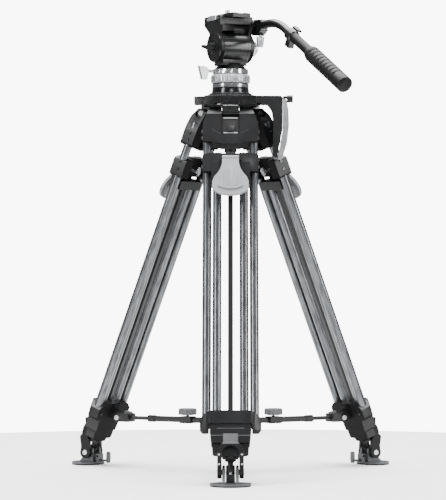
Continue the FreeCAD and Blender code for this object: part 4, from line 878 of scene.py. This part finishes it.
@dataclass(frozen=True)
class FluidHead:
    """Pan base, drum, platform, plate, levers and pan bar."""

    knurl_mm: float = 1.6
    ring_grips: int = 40
    ring_edges: tuple[float, ...] = (28.0, 23.5, 19.0, 14.5)
    ear_half: float = 37.5
    cone_rise: float = 10.4
    screw_place: float = 12.0
    screw_radius: float = 8.3
    plate_height: float = 9.5
    sleeve_length: float = 86.0
    drum_radius: float = 31.25
    drum_half: float = 29.5
    seam_radius: float = 31.8
    pad_count: int = 9
    pad_start: float = -38.0
    pad_step: float = 11.0
    pad_drop: float = 9.9

    def axes(self) -> Axes:
        """Along the tilt shaft, towards the lens and up, from the drum's middle."""
        tilt = JOINTS["tilt"]
        across = Vector(tilt["axis"])
        return Axes(Vector(tilt["pos_m"]), across, UPRIGHT.cross(across))

    def build(self) -> None:
        """Build and dress the head."""
        axes = self.axes()
        pan = Vector(JOINTS["pan"]["pos_m"])
        knurled = Finish("knurled_satin_aluminium", "bcbec0", "dcdedf", 0.36, metallic=0.8,
                         grain_mm=self.knurl_mm, bump=0.8, pattern=Pattern.KNURLED, centre=tuple(pan))
        bright = Finish("bright_turned_ring", "a8aaac", "d0d2d4", 0.16, metallic=1.0, grain_mm=1.2, bump=0.05,
                        pattern=Pattern.TURNED)
        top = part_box("camera_plate")[1].z

        def cone(point: Vector) -> int:
            """The lacquered neck stands above the bright ring."""
            return int(point.z > pan.z + self.cone_rise * MM)

        def plate(point: Vector) -> int:
            """The camera screw and the locating pin in the plate."""
            place = axes.local(point)
            from_screw = math.hypot(place.x, place.y - self.screw_place)
            return int(from_screw < self.screw_radius or point.z > top - self.plate_height * MM)

        Casting("pan_drag_ring", [knurled], None, 0.5).build()
        Casting("pan_base", [bright, DRUM_LACQUER], cone, 0.4).build()
        Casting("pan_lock_lever", [SATIN], None, 0.7).build()
        Casting("drum", [DRUM_LACQUER], None, 0.5).build()
        Casting("tilt_platform", [POWDER_COAT], None, 0.7, under=UNDERSIDE_SHADE).build()
        Casting("tilt_lock_lever", [NYLON], None, 0.8).build()
        Casting("tilt_drag_dial", [SATIN], None, 0.5).build()
        Casting("camera_plate", [POWDER_COAT, STEEL], plate, 0.6).build()
        Casting("plate_lock_lever", [SATIN], None, 0.6).build()
        Casting("pan_bar", [DRUM_LACQUER], None, 0.7).build()
        Casting("clamp_knob", [SATIN], None, 0.5).build()
        self.grip()
        self.trim(axes, top)

    def grip(self) -> None:
        """Dress the sliding sleeve and its rubber grip."""
        slide = Vector(JOINTS["grip_slide"]["axis"])
        begin = min(vert.co.dot(slide) for vert in frame["nodes"]["grip"].data.vertices)

        def part(point: Vector) -> int:
            """The rubber starts past the sleeve."""
            return int((point.dot(slide) - begin) / MM > self.sleeve_length)

        Casting("grip", [DRUM_LACQUER, RUBBER], part, 0.5).build()

    def trim(self, axes: Axes, top: float) -> None:
        """Cap rings, drum skin and seams, the drag ring's grips, screws and the plate's pads.

        Args:
            axes: the head's axes.
            top: the camera plate's highest point, in metres.
        """
        place, across = axes.matrix(), axes.across
        shape = bmesh.new()
        cap_face = aim(place @ (Vector((-self.ear_half, 0, 0)) * MM), -across)
        for radius in self.ring_edges:
            add_turned(shape, [(radius - 1.2, -0.4), (radius - 0.7, 1.2), (radius + 0.7, 1.2),
                               (radius + 1.2, -0.4)], cap_face, 64)
        new_piece("cap_rings", shape, [SATIN_COAT], "platform")
        shape = bmesh.new()
        skin, half = self.drum_radius, self.drum_half
        add_turned(shape, [(0, -half), (30.7, -half), (skin, -28.9), (skin, 28.9), (30.7, half), (0, half)],
                   aim(axes.origin, across), 96)
        new_piece("drum_skin", shape, [DRUM_LACQUER], "head")
        low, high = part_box("pan_drag_ring")
        pan = Vector(JOINTS["pan"]["pos_m"])
        radius = pan.x - low.x
        spot = Vector((pan.x, pan.y, (low.z + high.z) / 2))
        shape = bmesh.new()
        for index in range(self.ring_grips):
            turn = Matrix.Rotation(math.tau * index / self.ring_grips, 4, "Z")
            add_block(shape, (1.6, 2.8, (high.z - low.z) * 0.62 / MM),
                      Matrix.Translation(spot) @ turn @ Matrix.Translation((radius, 0, 0)))
        new_piece("drag_ring_grips", shape, [SATIN], body_of("pan_drag_ring"), 0.3)
        shape = bmesh.new()
        for side in (-24.0, 24.0):
            add_turned(shape, [(31.0, -1.0), (self.seam_radius, -0.6), (self.seam_radius, 0.6), (31.0, 1.0)],
                       aim(place @ (Vector((side, 0, 0)) * MM), across), 72)
        new_piece("drum_seams", shape, [DRUM_LACQUER], "head")
        shape = bmesh.new()
        for side in (-self.ear_half, self.ear_half):
            for out, rise in ((-18.0, 55.0), (34.0, 55.0), (34.0, 47.0)):
                spot = place @ (Vector((side, out, rise)) * MM)
                add_screw(shape, 2.4, 1.6, aim(spot, across * math.copysign(1, side)))
        new_piece("ear_screws", shape, [BLACK_CHROME], "platform")
        shape = bmesh.new()
        rise = axes.local(Vector((axes.origin.x, axes.origin.y, top))).z - self.pad_drop
        for index in range(self.pad_count):
            out = self.pad_start + index * self.pad_step
            for side in (-13.0, 13.0):
                where = place @ Matrix.Translation(Vector((side, out, rise)) * MM)
                add_block(shape, (11, 7, 1.6), where)
        new_piece("plate_pads", shape, [RUBBER], "camera_plate", 0.4)


class Studio:
    """Camera, lights and floor."""

    distance = 5.0
    height = 0.426
    focal_mm = 180.0
    shift = (-0.015, 0.016)
    light_strength = 0.42
    backdrop_strength = 9.0
    aimed_at = (0, 0, 0.5)
    floor_radius = 1.3

    def build(self) -> None:
        """Set up the view and the light."""
        axis = Vector(JOINTS["pan"]["pos_m"])
        lens = bpy.data.cameras.new("view")
        lens.lens = self.focal_mm
        lens.sensor_width = 36.0
        lens.shift_x, lens.shift_y = self.shift
        lens.clip_end = 100.0
        camera = bpy.data.objects.new("view", lens)
        camera.location = (axis.x, axis.y - self.distance, self.height)
        camera.rotation_euler = (math.radians(90), 0, 0)
        bpy.context.scene.collection.objects.link(camera)
        bpy.context.scene.camera = camera
        world = bpy.data.worlds.new("studio")
        bpy.context.scene.world = world
        world.use_nodes = True
        tree = world.node_tree
        seen = add_node(tree, "ShaderNodeLightPath").outputs["Is Camera Ray"]
        # A white backdrop behind the stand; what lights it and shows in its gloss is much dimmer.
        strength = add_node(tree, "ShaderNodeMapRange",
                            {"To Min": self.light_strength, "To Max": self.backdrop_strength},
                            {"Value": seen})
        tree.links.new(strength.outputs["Result"], tree.nodes["Background"].inputs["Strength"])
        tree.nodes["Background"].inputs["Color"].default_value = linear("ffffff")
        self.lamp("key", (-2.4, -2.0, 1.5), 115.0, (0.5, 2.2))
        self.lamp("side", (2.8, -1.3, 1.3), 85.0, (0.4, 2.2))
        self.lamp("top", (0.0, 0.5, 3.0), 420.0, (2.8, 2.8))
        self.lamp("front", (0.5, -4.2, 1.9), 34.0, (0.5, 1.0))
        self.floor()

    @classmethod
    def lamp(cls, name: str, place: tuple[float, float, float], power: float,
             size: tuple[float, float]) -> None:
        """Add a soft rectangular light aimed at the stand.

        Args:
            name: the light's name.
            place: where it hangs, in metres.
            power: its power in watts.
            size: its width and height in metres.
        """
        data = bpy.data.lights.new(name, "AREA")
        data.shape = "RECTANGLE"
        data.size, data.size_y = size
        data.energy = power
        light = bpy.data.objects.new(name, data)
        light.location = place
        light.rotation_euler = (Vector(cls.aimed_at) - Vector(place)).to_track_quat("-Z", "Y").to_euler()
        bpy.context.scene.collection.objects.link(light)

    @classmethod
    def floor(cls) -> None:
        """A wide pale floor."""
        shape = bmesh.new()
        bmesh.ops.create_circle(shape, cap_ends=True, segments=96, radius=cls.floor_radius)
        mesh = bpy.data.meshes.new("floor")
        shape.to_mesh(mesh)
        shape.free()
        floor = bpy.data.objects.new("floor", mesh)
        paper = Finish("matt_white_paper", "f6f6f6", "fafafa", 0.85, grain_mm=3.0, bump=0.02)
        mesh.materials.append(paper.material())
        bpy.context.scene.collection.objects.link(floor)


def main() -> None:
    """Build every sub-assembly in order and report it."""
    logging.basicConfig(level=logging.INFO, format="%(name)s %(message)s")
    Studio().build()
    for tag in LEGS:
        Leg(tag).build()
    Spreader().build()
    Shoulder().build()
    FluidHead().build()


if __name__ == "__main__":
    main()
